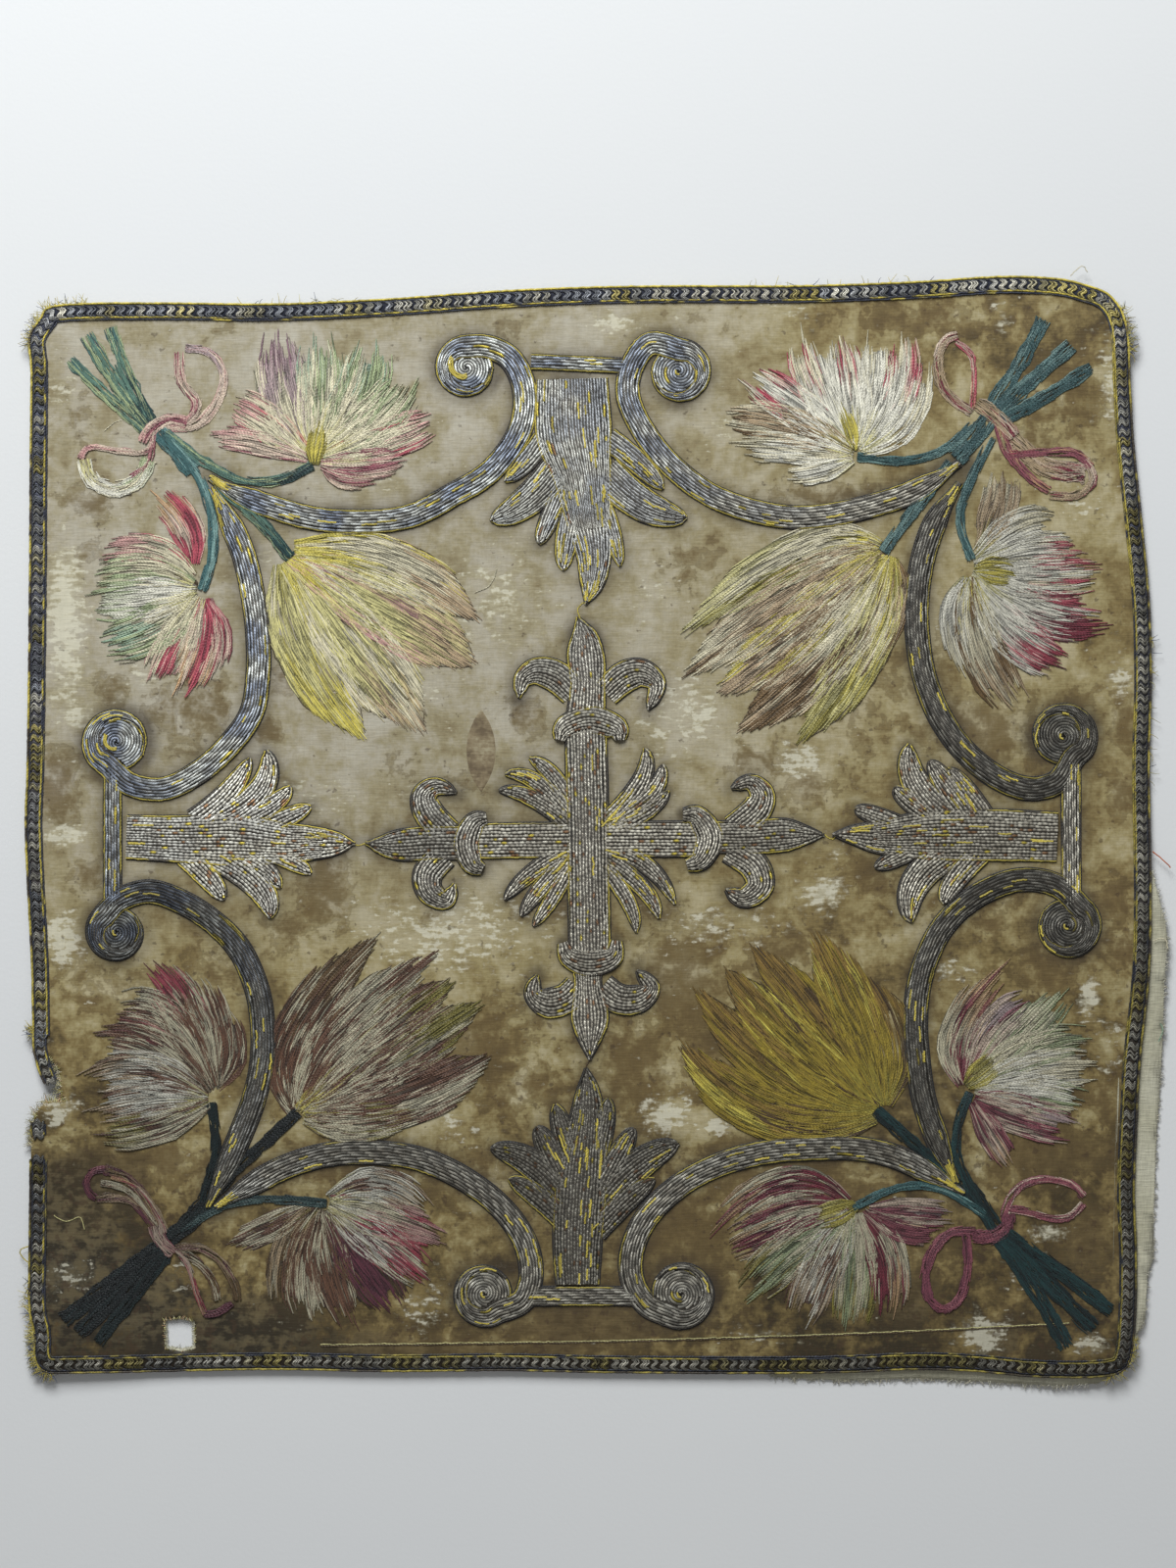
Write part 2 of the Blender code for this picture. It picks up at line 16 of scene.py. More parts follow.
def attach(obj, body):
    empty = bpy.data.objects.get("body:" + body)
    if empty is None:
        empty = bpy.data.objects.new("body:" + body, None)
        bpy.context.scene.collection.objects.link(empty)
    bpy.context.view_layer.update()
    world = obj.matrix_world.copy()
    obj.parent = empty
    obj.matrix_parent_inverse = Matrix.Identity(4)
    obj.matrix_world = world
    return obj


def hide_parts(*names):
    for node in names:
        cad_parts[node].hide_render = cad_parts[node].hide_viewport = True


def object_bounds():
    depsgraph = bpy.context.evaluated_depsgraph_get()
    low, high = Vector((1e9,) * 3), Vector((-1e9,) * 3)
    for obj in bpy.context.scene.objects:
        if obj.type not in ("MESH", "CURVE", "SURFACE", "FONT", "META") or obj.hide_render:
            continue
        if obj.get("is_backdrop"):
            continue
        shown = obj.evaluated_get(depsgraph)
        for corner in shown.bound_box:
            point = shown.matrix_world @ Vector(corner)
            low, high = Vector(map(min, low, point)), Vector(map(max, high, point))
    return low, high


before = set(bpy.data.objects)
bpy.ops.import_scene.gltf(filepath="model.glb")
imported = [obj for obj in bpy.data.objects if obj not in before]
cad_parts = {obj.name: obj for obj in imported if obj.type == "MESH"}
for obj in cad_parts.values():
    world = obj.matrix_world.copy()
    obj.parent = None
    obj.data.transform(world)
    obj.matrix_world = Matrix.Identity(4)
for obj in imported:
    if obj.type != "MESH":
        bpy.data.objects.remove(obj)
cad_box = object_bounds()

METRES = 0.001  # metres in a millimetre

# Levels above the linen's underside
LINEN_TOP = 1.0
SILK_UNDERSIDE = 1.3
SILK_TOP = 2.3
THREAD_LEVEL = 2.4  # where threads lie on the silk

# The same edge, tear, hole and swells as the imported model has
BRAID_WIDTH = 9.0
CLOTH_INSET = 0.8
BRAID_EDGE = (
    (-280, -162), (-280.5, -198), (-280.5, -234), (-278, -248), (-277.5, -261), (-272, -267.5),
    (-257, -268), (-218, -267.5), (-161, -266.5), (-103, -267.5), (-46, -267), (4, -268),
    (82, -268.5), (121, -268), (159, -266.5), (188, -267.5), (216, -270), (246, -270),
    (260, -267), (265, -258), (267, -236), (267.5, -207), (266.5, -178), (268, -140),
    (269.5, -111), (273.5, -70), (274.5, -25), (274, 36), (275, 74), (274, 113),
    (270.5, 151), (266.5, 189), (264.5, 218), (262.5, 249), (255, 264), (242, 270),
    (226, 273.5), (198, 274.5), (159, 272), (101, 270), (44, 270), (4, 269.5),
    (-46, 267.5), (-103, 263.5), (-161, 261), (-218, 261.5), (-266, 260), (-275, 253),
    (-280.5, 243), (-279.5, 228), (-280, 189), (-280.5, 113), (-281.5, 36), (-282.5, 4),
    (-281.5, -25), (-279.5, -63), (-278.5, -101),
)
TEAR = (
    (-277, -106), (-270, -112), (-265, -118), (-264.5, -129), (-261.5, -133),
    (-272, -133.5), (-276.5, -139), (-278.5, -146), (-279, -155),
)
LINEN_RIGHT = (
    (260, -10), (275, -20), (281.5, -45), (282.5, -54), (281, -74), (280.5, -96),
    (279.5, -122), (277.5, -151), (276, -190), (276, -211), (273, -219), (271.5, -241),
    (266, -252), (255, -252),
)
LINEN_BOTTOM = (
    (90, -262), (86, -270), (122, -272), (161, -271), (200, -273), (229, -274.5),
    (248, -273), (258, -268), (255, -262),
)
HOLE = ((-213.5, -241.5), (-206, -240.5), (-198.5, -242), (-198, -256), (-205, -257.5), (-213, -256))
LINEN_HOLE_SHARE = 0.86  # the size of the hole in the linen, of the one in the silk
Lift = namedtuple("Lift", "x y reach height")
LIFTS = (
    Lift(276, -60, 78, 2.6), Lift(258, 262, 72, 2.4), Lift(-272, 256, 64, 1.8),
    Lift(-272, -262, 66, 1.8), Lift(262, -262, 68, 2.2), Lift(-276, -128, 62, 2.0),
    Lift(-110, 85, 70, 0.9), Lift(112, -88, 70, 0.9),
)

# The pitch of the rows, and the dashes from one couching stitch to the next: the range of their
# lengths in row steps, how dark the stitch is, how much the dashes differ as painted glints, and the
# shares of blue and of rust among them. Some stitches line up instead: they slant by so many steps a
# row, and the metal is lighter and darker between them
Work = namedtuple("Work", "pitch shortest longest stitch sparkle blue rust slant wave", defaults=(0, 0.0))
GRAINED = Work(1.65, 2, 4, 0.4, 0.5, 0.3, 0.05)
RIBBED = Work(1.4, 5, 9, 0.5, 0.45, 1.0, 0.0, 2, 0.42)
DASHED = Work(1.45, 3, 9, 0.5, 0.3, 0.7, 0.01)

# Scrolls of metal thread: how brightly each still shines, its coil's centre and radius, the ribbon's
# middle line to it, and the yellow core laid bare round the coil's middle, as a number of strands and
# their first and last radius
SCROLL_WIDTH = 12.0
SCROLL_ROOT_SHARE = 0.35
SCROLL_ROOT_LENGTH = 26.0
Scroll = namedtuple("Scroll", "name shine centre radius route core", defaults=((1, 1.3, 1.8),))
SCROLLS = (
    Scroll("scroll_top_left", 0.88, (-64, 229), 16.5, (
        (-191, 175), (-176, 166), (-142, 155), (-113, 153), (-91, 156), (-71, 166),
        (-52, 178), (-38, 197), (-35, 216), (-41, 232), (-52, 239), (-64, 240),
    ), (3, 2.8, 8.2)),
    Scroll("scroll_top_right", 0.75, (41, 227), 17, (
        (180, 182), (165, 172), (150, 165), (125, 158), (101, 155), (79, 158),
        (57, 166), (38, 180), (24, 197), (16, 215), (18, 230), (27, 241), (41, 240),
    )),
    Scroll("scroll_left_top", 0.81, (-237, 44), 18, (
        (-190, 170), (-182, 155), (-174, 136), (-169, 113), (-167, 94), (-167, 78),
        (-170, 59), (-180, 44), (-195, 30), (-213, 21), (-230, 23), (-243, 31),
    ), (2, 2.6, 6.0)),
    Scroll("scroll_left_bottom", 0.26, (-237, -50), 16, (
        (-192, -186), (-184, -169), (-176, -151), (-169, -132), (-165, -113), (-165, -94),
        (-168, -77), (-176, -59), (-188, -46), (-203, -36), (-220, -30), (-235, -34), (-244, -41),
    )),
    Scroll("scroll_right_top", 0.21, (231, 47), 18, (
        (180, 172), (169, 155), (162, 136), (159, 116), (159, 98), (162, 78),
        (169, 59), (180, 42), (196, 28), (213, 21), (228, 24), (238, 33),
    )),
    Scroll("scroll_right_bottom", 0.19, (233, -47), 17.5, (
        (178, -174), (169, -153), (162, -132), (159, -111), (158, -94), (160, -75),
        (167, -55), (178, -40), (194, -29), (211, -24), (228, -27), (240, -36),
    )),
    Scroll("scroll_bottom_left", 0.46, (-55, -229), 17, (
        (-188, -186), (-172, -176), (-153, -166), (-132, -160), (-111, -159), (-88, -162),
        (-67, -171), (-48, -185), (-36, -201), (-32, -218), (-36, -232), (-46, -240),
    )),
    Scroll("scroll_bottom_right", 0.5, (42, -229), 18, (
        (182, -179), (167, -170), (148, -161), (129, -157), (105, -157), (83, -159),
        (61, -165), (42, -175), (26, -190), (18, -207), (18, -222), (25, -234), (35, -240),
    )),
)

# Bodies of metal thread are rows of x, y and half width along their middle line
Bar = namedtuple("Bar", "name shine ends")
BARS = (
    Bar("bar_top", 0.8, ((-30, 232, 4.0), (14, 230, 4.0))),
    Bar("bar_left", 0.6, ((-239, 30, 4.6), (-239, -36, 4.6))),
    Bar("bar_right", 0.5, ((235, 32, 4.9), (235, -34, 4.9))),
    Bar("bar_bottom", 0.6, ((-32, -230, 4.9), (22, -230, 4.9))),
)

# A blade of metal thread bends through three points, and is given its widest half width. A palmette's
# streaks are the bits of yellow core that show in a square millimetre
Blade = namedtuple("Blade", "root middle tip half_width")
Palmette = namedtuple("Palmette", "name shine streaks body blades work", defaults=(GRAINED,))
PALMETTES = (
    Palmette("palmette_top", 0.8, 0.02, (
        (-12, 223.5, 18), (-11, 197, 19), (-7, 177, 15), (-4, 157, 12),
        (-1, 137, 9), (-2, 122, 6), (-5, 112, 0.6),
    ), (
        Blade((-26, 194), (-35, 182), (-45, 173), 4.5),
        Blade((-19, 180), (-34, 163), (-52, 153.5), 7.5),
        Blade((-17, 168), (-24, 152), (-28, 142), 4.0),
        Blade((-12, 157), (-15, 141), (-16, 129), 4.8),
        Blade((4, 160), (9, 145), (12, 131), 3.5),
        Blade((6, 194), (22, 181), (33, 169), 5.0),
        Blade((4, 178), (24, 161), (45, 155), 8.0),
    ), DASHED),
    Palmette("palmette_left", 1.38, 0.006, (
        (-232, -3, 11), (-203, -4, 12), (-179, -4, 13.5), (-154, -6, 10.5),
        (-142, -6, 9), (-128, -6, 6), (-119, -6, 0.6),
    ), (
        Blade((-199, 5), (-182, 19), (-171, 36), 5.0),
        Blade((-189, 4), (-166, 20), (-163, 40), 6.0),
        Blade((-176, 5), (-160, 13), (-151, 22), 4.5),
        Blade((-163, 2), (-150, 8), (-141, 12), 4.0),
        Blade((-163, -10), (-149, -16), (-141, -21), 3.5),
        Blade((-178, -11), (-164, -19), (-156, -28), 4.5),
        Blade((-188, -12), (-167, -27), (-161, -43), 6.5),
        Blade((-203, -12), (-191, -24), (-184, -34), 5.0),
    )),
    Palmette("palmette_right", 0.88, 0.006, (
        (228, -3, 12.5), (194, -2, 13), (166, -2, 12.5), (142, -3, 9),
        (127, -2, 5), (117, -2, 0.6),
    ), (
        Blade((192, 8), (182, 22), (174, 31), 4.0),
        Blade((186, 7), (174, 22), (165, 35), 5.5),
        Blade((175, 6), (158, 24), (155, 43), 6.5),
        Blade((170, 5), (155, 15), (148, 22), 4.5),
        Blade((152, 2), (137, 8), (128, 11), 4.0),
        Blade((159, -8), (147, -14), (138, -18), 3.8),
        Blade((176, -10), (158, -26), (156, -45), 7.0),
        Blade((190, -11), (177, -25), (172, -36), 5.0),
    )),
    Palmette("palmette_bottom", 0.38, 0.01, (
        (-9, -224, 11), (-9, -200, 12.5), (-7, -171, 13), (-5, -151, 10.5),
        (-4, -137, 8), (-4, -126, 5), (-5, -117, 0.6),
    ), (
        Blade((-15, -193), (-31, -179), (-43, -172), 5.0),
        Blade((-14, -184), (-31, -165), (-52, -157), 7.0),
        Blade((-13, -176), (-23, -158), (-29, -146), 5.5),
        Blade((-9, -168), (-16, -149), (-20, -135), 5.0),
        Blade((-1, -166), (4, -146), (6, -132), 4.5),
        Blade((0, -182), (11, -161), (19, -147), 5.0),
        Blade((1, -186), (20, -166), (41, -154.5), 7.5),
        Blade((0, -198), (16, -182), (29, -172), 5.0),
    )),
)
CROSS_RAYS = (
    Blade((-12, 2), (-31, 16), (-48, 20), 4.0), Blade((-12, 6), (-29, 24), (-45, 28), 4.0),
    Blade((-12, 12), (-22, 28), (-33, 36), 4.0), Blade((3, 2), (22, 24), (24, 41), 4.5),
    Blade((3, 2), (26, 17), (33, 33), 4.5), Blade((3, 1), (23, 9), (36, 20), 4.5),
    Blade((-12, -9), (-31, -20), (-45, -34), 4.0), Blade((-12, -12), (-27, -28), (-37, -42), 4.0),
    Blade((-12, -16), (-22, -34), (-31, -47), 3.5), Blade((3, -8), (25, -17), (39, -36), 4.0),
    Blade((3, -12), (23, -28), (31, -43), 4.0), Blade((3, -16), (16, -35), (20, -50), 3.5),
)
CROSS_HOOKS = (
    ((-11, 68, 4), (-19, 76, 5.5), (-29, 79, 5.5), (-36, 75, 4), (-38, 66, 2.8)),
    ((5, 68, 4), (14, 76, 5.5), (23, 78, 5.5), (30, 72, 4), (26, 60, 2.8)),
    ((-9, -77, 4), (-15, -83, 5), (-24, -85, 6), (-31, -80, 4), (-29, -71, 2.8)),
    ((3, -77, 4), (11, -83, 5), (21, -83, 5.5), (27, -77, 4), (20, -69, 2.8)),
    ((-73, -1, 4), (-82, 8, 5), (-85, 17, 5), (-79, 22, 4), (-69, 19, 2.8)),
    ((-75, -12, 4), (-83, -21, 5), (-82, -30, 5), (-74, -34, 4), (-70, -26, 2.8)),
    ((68, 1, 4), (79, 10, 5), (82, 18, 5), (76, 24, 3.5), (67, 21, 2.8)),
    ((66, -9, 4), (78, -17, 5), (81, -27, 5.5), (73, -33, 4.5), (64, -29, 2.8)),
)
CROSS_LEAVES = (
    ((-5, 56, 10), (-4, 72, 9), (-5, 86, 9.5), (-6, 96, 7), (-9, 106, 0.6)),
    ((-4, -65, 8), (-4, -76, 7), (-3, -91, 9.5), (-3, -101, 7), (-3, -113, 0.6)),
    ((-66, -6, 8.5), (-82, -6, 8.5), (-97, -7, 8), (-106, -7, 5), (-114, -6, 0.6)),
    ((58, -3, 8), (76, -3, 8.5), (93, -2, 8.5), (104, -2, 5), (113, -2, 0.6)),
)
CROSS_ARMS = (((-60, -5, 9), (-13, -4.5, 9)), ((5, -4, 9), (52, -4, 9)))
CROSS_UPRIGHT = ((-5, 51, 10.5), (-4, 0, 10.5), (-3, -60, 10.5))
CROSS_COLLARS = (
    ((-18, 45, 2), (-15, 51, 5), (-3, 55, 6), (10, 51, 5), (12, 45, 2)),
    ((-16, -55, 2), (-13, -62, 4.5), (-3, -65, 6), (8, -62, 4.5), (10, -54, 2)),
    ((-54, 6, 2), (-60, 4, 4.5), (-64, -6, 5.5), (-61, -16, 4.5), (-56, -19, 2)),
    ((43, 8, 2), (50, 7, 4.5), (56, -3, 6), (52, -14, 4.5), (45, -17, 2)),
)

# Colours of silks and metal threads, as red, green and blue out of 255
COLOURS = {
    "white": (212, 207, 190), "cream": (196, 187, 158), "straw": (184, 176, 120),
    "yellow": (182, 168, 74), "olive": (130, 120, 50), "gold": (140, 121, 42),
    "bronze": (124, 99, 48), "fawn": (164, 142, 112),
    "tan": (176, 142, 104), "pink": (180, 138, 130), "blush": (190, 170, 150), "dusky_rose": (132, 74, 82),
    "brown": (106, 82, 50), "russet": (112, 78, 58), "madder": (104, 54, 66),
    "umber": (78, 60, 38), "purple": (122, 94, 102), "lilac": (160, 140, 138),
    "rose": (164, 72, 84), "dark_rose": (118, 46, 58), "leaf": (146, 156, 116),
    "mint": (132, 154, 130), "green": (82, 110, 96), "teal": (56, 90, 90), "sea": (116, 146, 140),
    "pine": (26, 54, 54), "black_green": (18, 32, 32), "navy": (52, 62, 92),
    # The padding's dark colour is painted shade for the gaps between rows of metal thread
    "silver": (222, 215, 196), "pewter": (117, 108, 94), "padding": (58, 53, 46),
    "blue_grey": (94, 101, 117), "linen": (196, 192, 172), "orange": (190, 96, 50),
    "gilt": (184, 166, 70), "rust": (130, 98, 70), "soot": (30, 28, 28),
    "blue_black": (50, 52, 64), "brown_black": (70, 60, 48),
}

# How a petal or band is shaded: its silks at the root, over the body and at the tip, the silk of
# the flames that run along it, the share that they take, from where to where they run, and how
# many follow one another
Paint = namedtuple("Paint", "root body tip flame share low high patches", defaults=(-0.3, 1.3, 1.6))
PAINTS = {
    "yellow": Paint("olive", "straw", "yellow", "cream", 0.35),
    "yellow_pink": Paint("yellow", "straw", "fawn", "cream", 0.4),
    "yellow_brown": Paint("yellow", "straw", "fawn", "pink", 0.3),
    "yellow_cream": Paint("yellow", "cream", "fawn", "yellow", 0.35),
    "cream_yellow": Paint("yellow", "cream", "straw", "olive", 0.2),
    "brown_cream": Paint("olive", "fawn", "cream", "brown", 0.4, patches=4),
    "cream_brown": Paint("yellow", "cream", "fawn", "brown", 0.38, patches=4.5),
    "yellow_green": Paint("olive", "straw", "olive", "yellow", 0.3),
    "brown_purple": Paint("umber", "russet", "brown", "cream", 0.4, patches=6),
    "brown_mottled": Paint("umber", "russet", "russet", "cream", 0.5, patches=7),
    "cream_mottled": Paint("yellow", "cream", "olive", "russet", 0.45, patches=6),
    "white_mottled": Paint("straw", "white", "fawn", "russet", 0.35, patches=6),
    "red_mottled": Paint("umber", "cream", "rose", "russet", 0.45, patches=6),
    "olive_brown": Paint("olive", "gold", "bronze", "umber", 0.33),
    "olive_gold": Paint("olive", "gold", "bronze", "yellow", 0.3),
    "purple": Paint("straw", "cream", "purple", "lilac", 0.6, 0.25),
    "dark_purple": Paint("cream", "brown", "umber", "madder", 0.6, 0.2),
    "green": Paint("straw", "cream", "mint", "leaf", 0.5, 0.3),
    "green_cream": Paint("straw", "cream", "leaf", "leaf", 0.3),
    "white_green": Paint("straw", "white", "leaf", "cream", 0.3),
    "green_olive": Paint("cream", "cream", "olive", "leaf", 0.4),
    "cream": Paint("straw", "white", "cream", "cream", 0.2),
    "cream_rose": Paint("straw", "cream", "pink", "rose", 0.25),
    "cream_pink": Paint("pink", "blush", "pink", "dusky_rose", 0.35),
    "red_tip": Paint("straw", "white", "cream", "rose", 0.55, 0.62, 0.95, 3),
    "root_glow": Paint("olive", "yellow", "straw", "olive", 0.45),
    "striped": Paint("dark_rose", "cream", "tan", "dark_rose", 0.56, patches=1.5),
    "rose": Paint("pink", "blush", "tan", "rose", 0.5),
    "rose_red": Paint("rose", "pink", "blush", "dark_rose", 0.4),
    "rose_brown": Paint("dark_rose", "blush", "tan", "dusky_rose", 0.5),
    "rose_purple": Paint("dark_rose", "blush", "lilac", "dusky_rose", 0.55),
    "pink": Paint("dusky_rose", "blush", "pink", "dusky_rose", 0.35),
    "peach": Paint("blush", "fawn", "blush", "dark_rose", 0.4, patches=4),
    "dusk": Paint("blush", "blush", "lilac", "pink", 0.4),
    "madder": Paint("madder", "dusky_rose", "madder", "madder", 0.45),
    "dark_eye": Paint("yellow", "umber", "umber", "brown", 0.3),
    "dark_rose": Paint("dark_rose", "dusky_rose", "dusky_rose", "tan", 0.4),
    "red_edge": Paint("straw", "white", "rose", "dark_rose", 0.5, 0.55, 1.1, 3),
    "faded": Paint("brown", "fawn", "brown", "madder", 0.4, patches=3),
    "dusky": Paint("dusky_rose", "dusky_rose", "dusky_rose", "blush", 0.35),
    "green_stem": Paint("teal", "green", "pine", "leaf", 0.4),
    "teal_stem": Paint("teal", "teal", "teal", "sea", 0.4),
    "pine_stem": Paint("pine", "pine", "pine", "black_green", 0.45),
    "black_stem": Paint("black_green", "black_green", "black_green", "pine", 0.35),
}

# Flowers painted with the needle, and how fresh their colours are, partly fading and partly painted
# shade that is deepest towards the bottom left. A tulip's petals are pointed, and a parrot tulip's are
# ragged
Petal = namedtuple("Petal", "paint root middle tip half_width")
Flower = namedtuple("Flower", "name ragged fresh petals")
FLOWERS = (
    Flower("tulip_top_left", False, 1.05, (
        Petal("yellow", (-154, 132), (-144, 92), (-115, 47), 13.5),
        Petal("yellow_pink", (-152, 135), (-117, 92), (-86, 50), 15.4),
        Petal("yellow_brown", (-151, 136), (-103, 110), (-60, 82), 15.0),
        Petal("yellow_cream", (-149, 139), (-103, 132), (-59, 105), 11.5),
    )),
    Flower("parrot_top_left_upper", True, 1.05, (
        Petal("purple", (-142, 187), (-153, 214), (-157, 244), 11.5),
        Petal("green", (-140, 188), (-136, 214), (-136, 245), 11.1),
        Petal("green", (-138, 188), (-119, 212), (-111, 241), 11.1),
        Petal("cream_rose", (-142, 185), (-163, 203), (-180, 212), 8.1),
        Petal("cream_pink", (-142, 184), (-168, 192), (-191, 195), 5.4),
        Petal("green_cream", (-137, 186), (-111, 201), (-92, 223), 11.1),
        Petal("cream_rose", (-136, 184), (-105, 193), (-80, 203), 8.8),
        Petal("cream_pink", (-136, 182), (-117, 181), (-94, 184), 6.9),
        Petal("rose_brown", (-134, 179), (-124, 174), (-108, 174), 4.2),
        Petal("root_glow", (-139, 181), (-138, 190), (-136, 201), 4.5),
    )),
    Flower("parrot_top_left_lower", True, 1.0, (
        Petal("dark_eye", (-197, 121), (-204, 122), (-212, 123), 5.0),
        Petal("rose", (-199, 132), (-203, 151), (-218, 168), 7.3),
        Petal("cream_rose", (-199, 126), (-218, 139), (-244, 139), 6.1),
        Petal("green_cream", (-199, 122), (-222, 129), (-248, 126), 6.9),
        Petal("white_green", (-197, 118), (-224, 115), (-252, 113), 9.2),
        Petal("green", (-197, 116), (-218, 101), (-245, 92), 10.4),
        Petal("cream_rose", (-196, 116), (-208, 93), (-218, 73), 8.8),
        Petal("rose", (-193, 115), (-194, 93), (-205, 67), 8.1),
        Petal("rose_red", (-192, 113), (-185, 97), (-188, 80), 4.2),
    )),
    Flower("tulip_top_right", False, 0.95, (
        Petal("brown_cream", (146, 134), (146, 111), (128, 75), 7.3),
        Petal("yellow_green", (145, 135), (133, 93), (101, 45), 11.5),
        Petal("cream_brown", (143, 137), (117, 92), (71, 50), 12.7),
        Petal("yellow_cream", (141, 138), (104, 101), (61, 68), 13.1),
        Petal("brown_cream", (140, 139), (100, 116), (45, 78), 13.1),
        Petal("cream_yellow", (140, 140), (102, 137), (44, 99), 10.0),
    )),
    Flower("parrot_top_right_upper", True, 0.96, (
        Petal("cream", (131, 188), (153, 203), (161, 234), 6.9),
        Petal("red_tip", (130, 189), (149, 214), (153, 244), 7.7),
        Petal("cream", (129, 190), (139, 218), (140, 247), 8.1),
        Petal("red_tip", (128, 190), (126, 218), (121, 245), 8.8),
        Petal("red_tip", (127, 189), (111, 216), (102, 245), 8.8),
        Petal("red_tip", (127, 188), (100, 209), (76, 225), 8.8),
        Petal("brown_cream", (127, 188), (94, 201), (62, 205), 8.1),
        Petal("cream", (127, 185), (100, 189), (68, 191), 6.5),
        Petal("cream", (127, 184), (111, 178), (94, 176), 5.0),
        Petal("root_glow", (128, 188), (126, 198), (122, 209), 3.0),
    )),
    Flower("parrot_top_right_lower", True, 0.69, (
        Petal("brown_cream", (189, 139), (199, 159), (201, 178), 8.1),
        Petal("cream", (187, 134), (207, 149), (226, 153), 8.1),
        Petal("red_tip", (187, 132), (217, 138), (241, 138), 8.1),
        Petal("red_tip", (187, 130), (217, 124), (252, 126), 9.2),
        Petal("red_edge", (187, 128), (217, 109), (252, 104), 10.0),
        Petal("red_edge", (186, 126), (207, 97), (234, 82), 10.0),
        Petal("cream_brown", (185, 126), (190, 93), (207, 62), 10.0),
        Petal("cream", (184, 125), (177, 105), (184, 78), 6.1),
        Petal("root_glow", (187, 129), (197, 129), (208, 127), 6.0),
    )),
    Flower("tulip_bottom_left", False, 0.64, (
        Petal("brown_purple", (-148, -138), (-148, -102), (-109, -53), 11.1),
        Petal("brown_mottled", (-147, -138), (-126, -102), (-80, -61), 11.1),
        Petal("cream_mottled", (-146, -139), (-111, -105), (-71, -74), 10.7),
        Petal("cream_mottled", (-145, -139), (-103, -114), (-57, -85), 11.1),
        Petal("brown_mottled", (-144, -140), (-99, -133), (-53, -112), 13.0),
        Petal("cream_mottled", (-144, -141), (-120, -144), (-88, -139), 8.5),
    )),
    Flower("parrot_bottom_left_upper", True, 0.54, (
        Petal("brown_mottled", (-188, -127), (-180, -109), (-186, -89), 6.5),
        Petal("brown_mottled", (-189, -126), (-190, -98), (-199, -74), 9.2),
        Petal("red_mottled", (-190, -126), (-201, -94), (-220, -68), 10.0),
        Petal("brown_mottled", (-190, -127), (-211, -94), (-236, -88), 9.2),
        Petal("red_mottled", (-191, -129), (-218, -105), (-248, -100), 10.0),
        Petal("white_mottled", (-192, -131), (-222, -119), (-251, -122), 9.2),
        Petal("white_mottled", (-192, -133), (-220, -132), (-251, -138), 8.1),
        Petal("cream_mottled", (-191, -134), (-218, -146), (-245, -150), 8.1),
    )),
    Flower("parrot_bottom_left_lower", True, 0.56, (
        Petal("brown_mottled", (-139, -184), (-161, -196), (-182, -205), 6.1),
        Petal("brown_cream", (-138, -186), (-153, -207), (-155, -236), 6.5),
        Petal("brown_mottled", (-136, -187), (-145, -213), (-143, -240), 8.4),
        Petal("brown_mottled", (-134, -187), (-132, -215), (-122, -244), 9.6),
        Petal("dark_purple", (-133, -187), (-116, -213), (-99, -236), 10.4),
        Petal("red_tip", (-132, -186), (-107, -203), (-82, -223), 9.6),
        Petal("cream_rose", (-132, -184), (-106, -191), (-76, -202), 9.6),
        Petal("white_mottled", (-132, -182), (-107, -175), (-84, -189), 7.7),
    )),
    Flower("tulip_bottom_right", False, 0.88, (
        Petal("olive_brown", (143, -135), (148, -105), (134, -73), 8.4),
        Petal("olive_gold", (141, -136), (129, -94), (107, -49), 11.5),
        Petal("olive_brown", (140, -137), (113, -100), (77, -56), 10.4),
        Petal("olive_gold", (139, -138), (102, -109), (64, -68), 11.5),
        Petal("olive_brown", (138, -139), (93, -121), (50, -78), 10.4),
        Petal("olive_gold", (138, -140), (86, -140), (42, -105), 11.1),
        Petal("olive_brown", (138, -141), (109, -146), (73, -135), 7.5),
    )),
    Flower("parrot_bottom_right_upper", True, 0.67, (
        Petal("striped", (182, -125), (180, -100), (201, -70), 8.8),
        Petal("rose_purple", (184, -122), (196, -98), (215, -84), 7.7),
        Petal("green_cream", (186, -123), (209, -102), (231, -80), 8.4),
        Petal("green_cream", (186, -125), (213, -109), (242, -103), 8.1),
        Petal("cream", (187, -127), (217, -119), (250, -117), 8.8),
        Petal("white_green", (187, -128), (215, -129), (244, -135), 8.1),
        Petal("rose_purple", (187, -132), (209, -140), (238, -148), 8.8),
        Petal("rose_brown", (186, -134), (196, -151), (205, -165), 5.8),
        Petal("root_glow", (183, -126), (190, -120), (199, -113), 5.5),
    )),
    Flower("parrot_bottom_right_lower", True, 0.58, (
        Petal("striped", (124, -184), (94, -175), (61, -196), 8.1),
        Petal("striped", (125, -186), (94, -194), (63, -208), 8.8),
        Petal("green_olive", (126, -188), (100, -205), (73, -229), 10.4),
        Petal("white_mottled", (127, -189), (113, -213), (100, -244), 10.0),
        Petal("green_olive", (128, -189), (129, -217), (125, -246), 9.2),
        Petal("striped", (131, -189), (144, -211), (144, -240), 8.8),
        Petal("rose_purple", (135, -187), (155, -188), (179, -190), 5.8),
        Petal("rose_brown", (134, -188), (153, -197), (170, -198), 5.8),
        Petal("root_glow", (129, -185), (119, -189), (109, -192), 6.0),
    )),
)
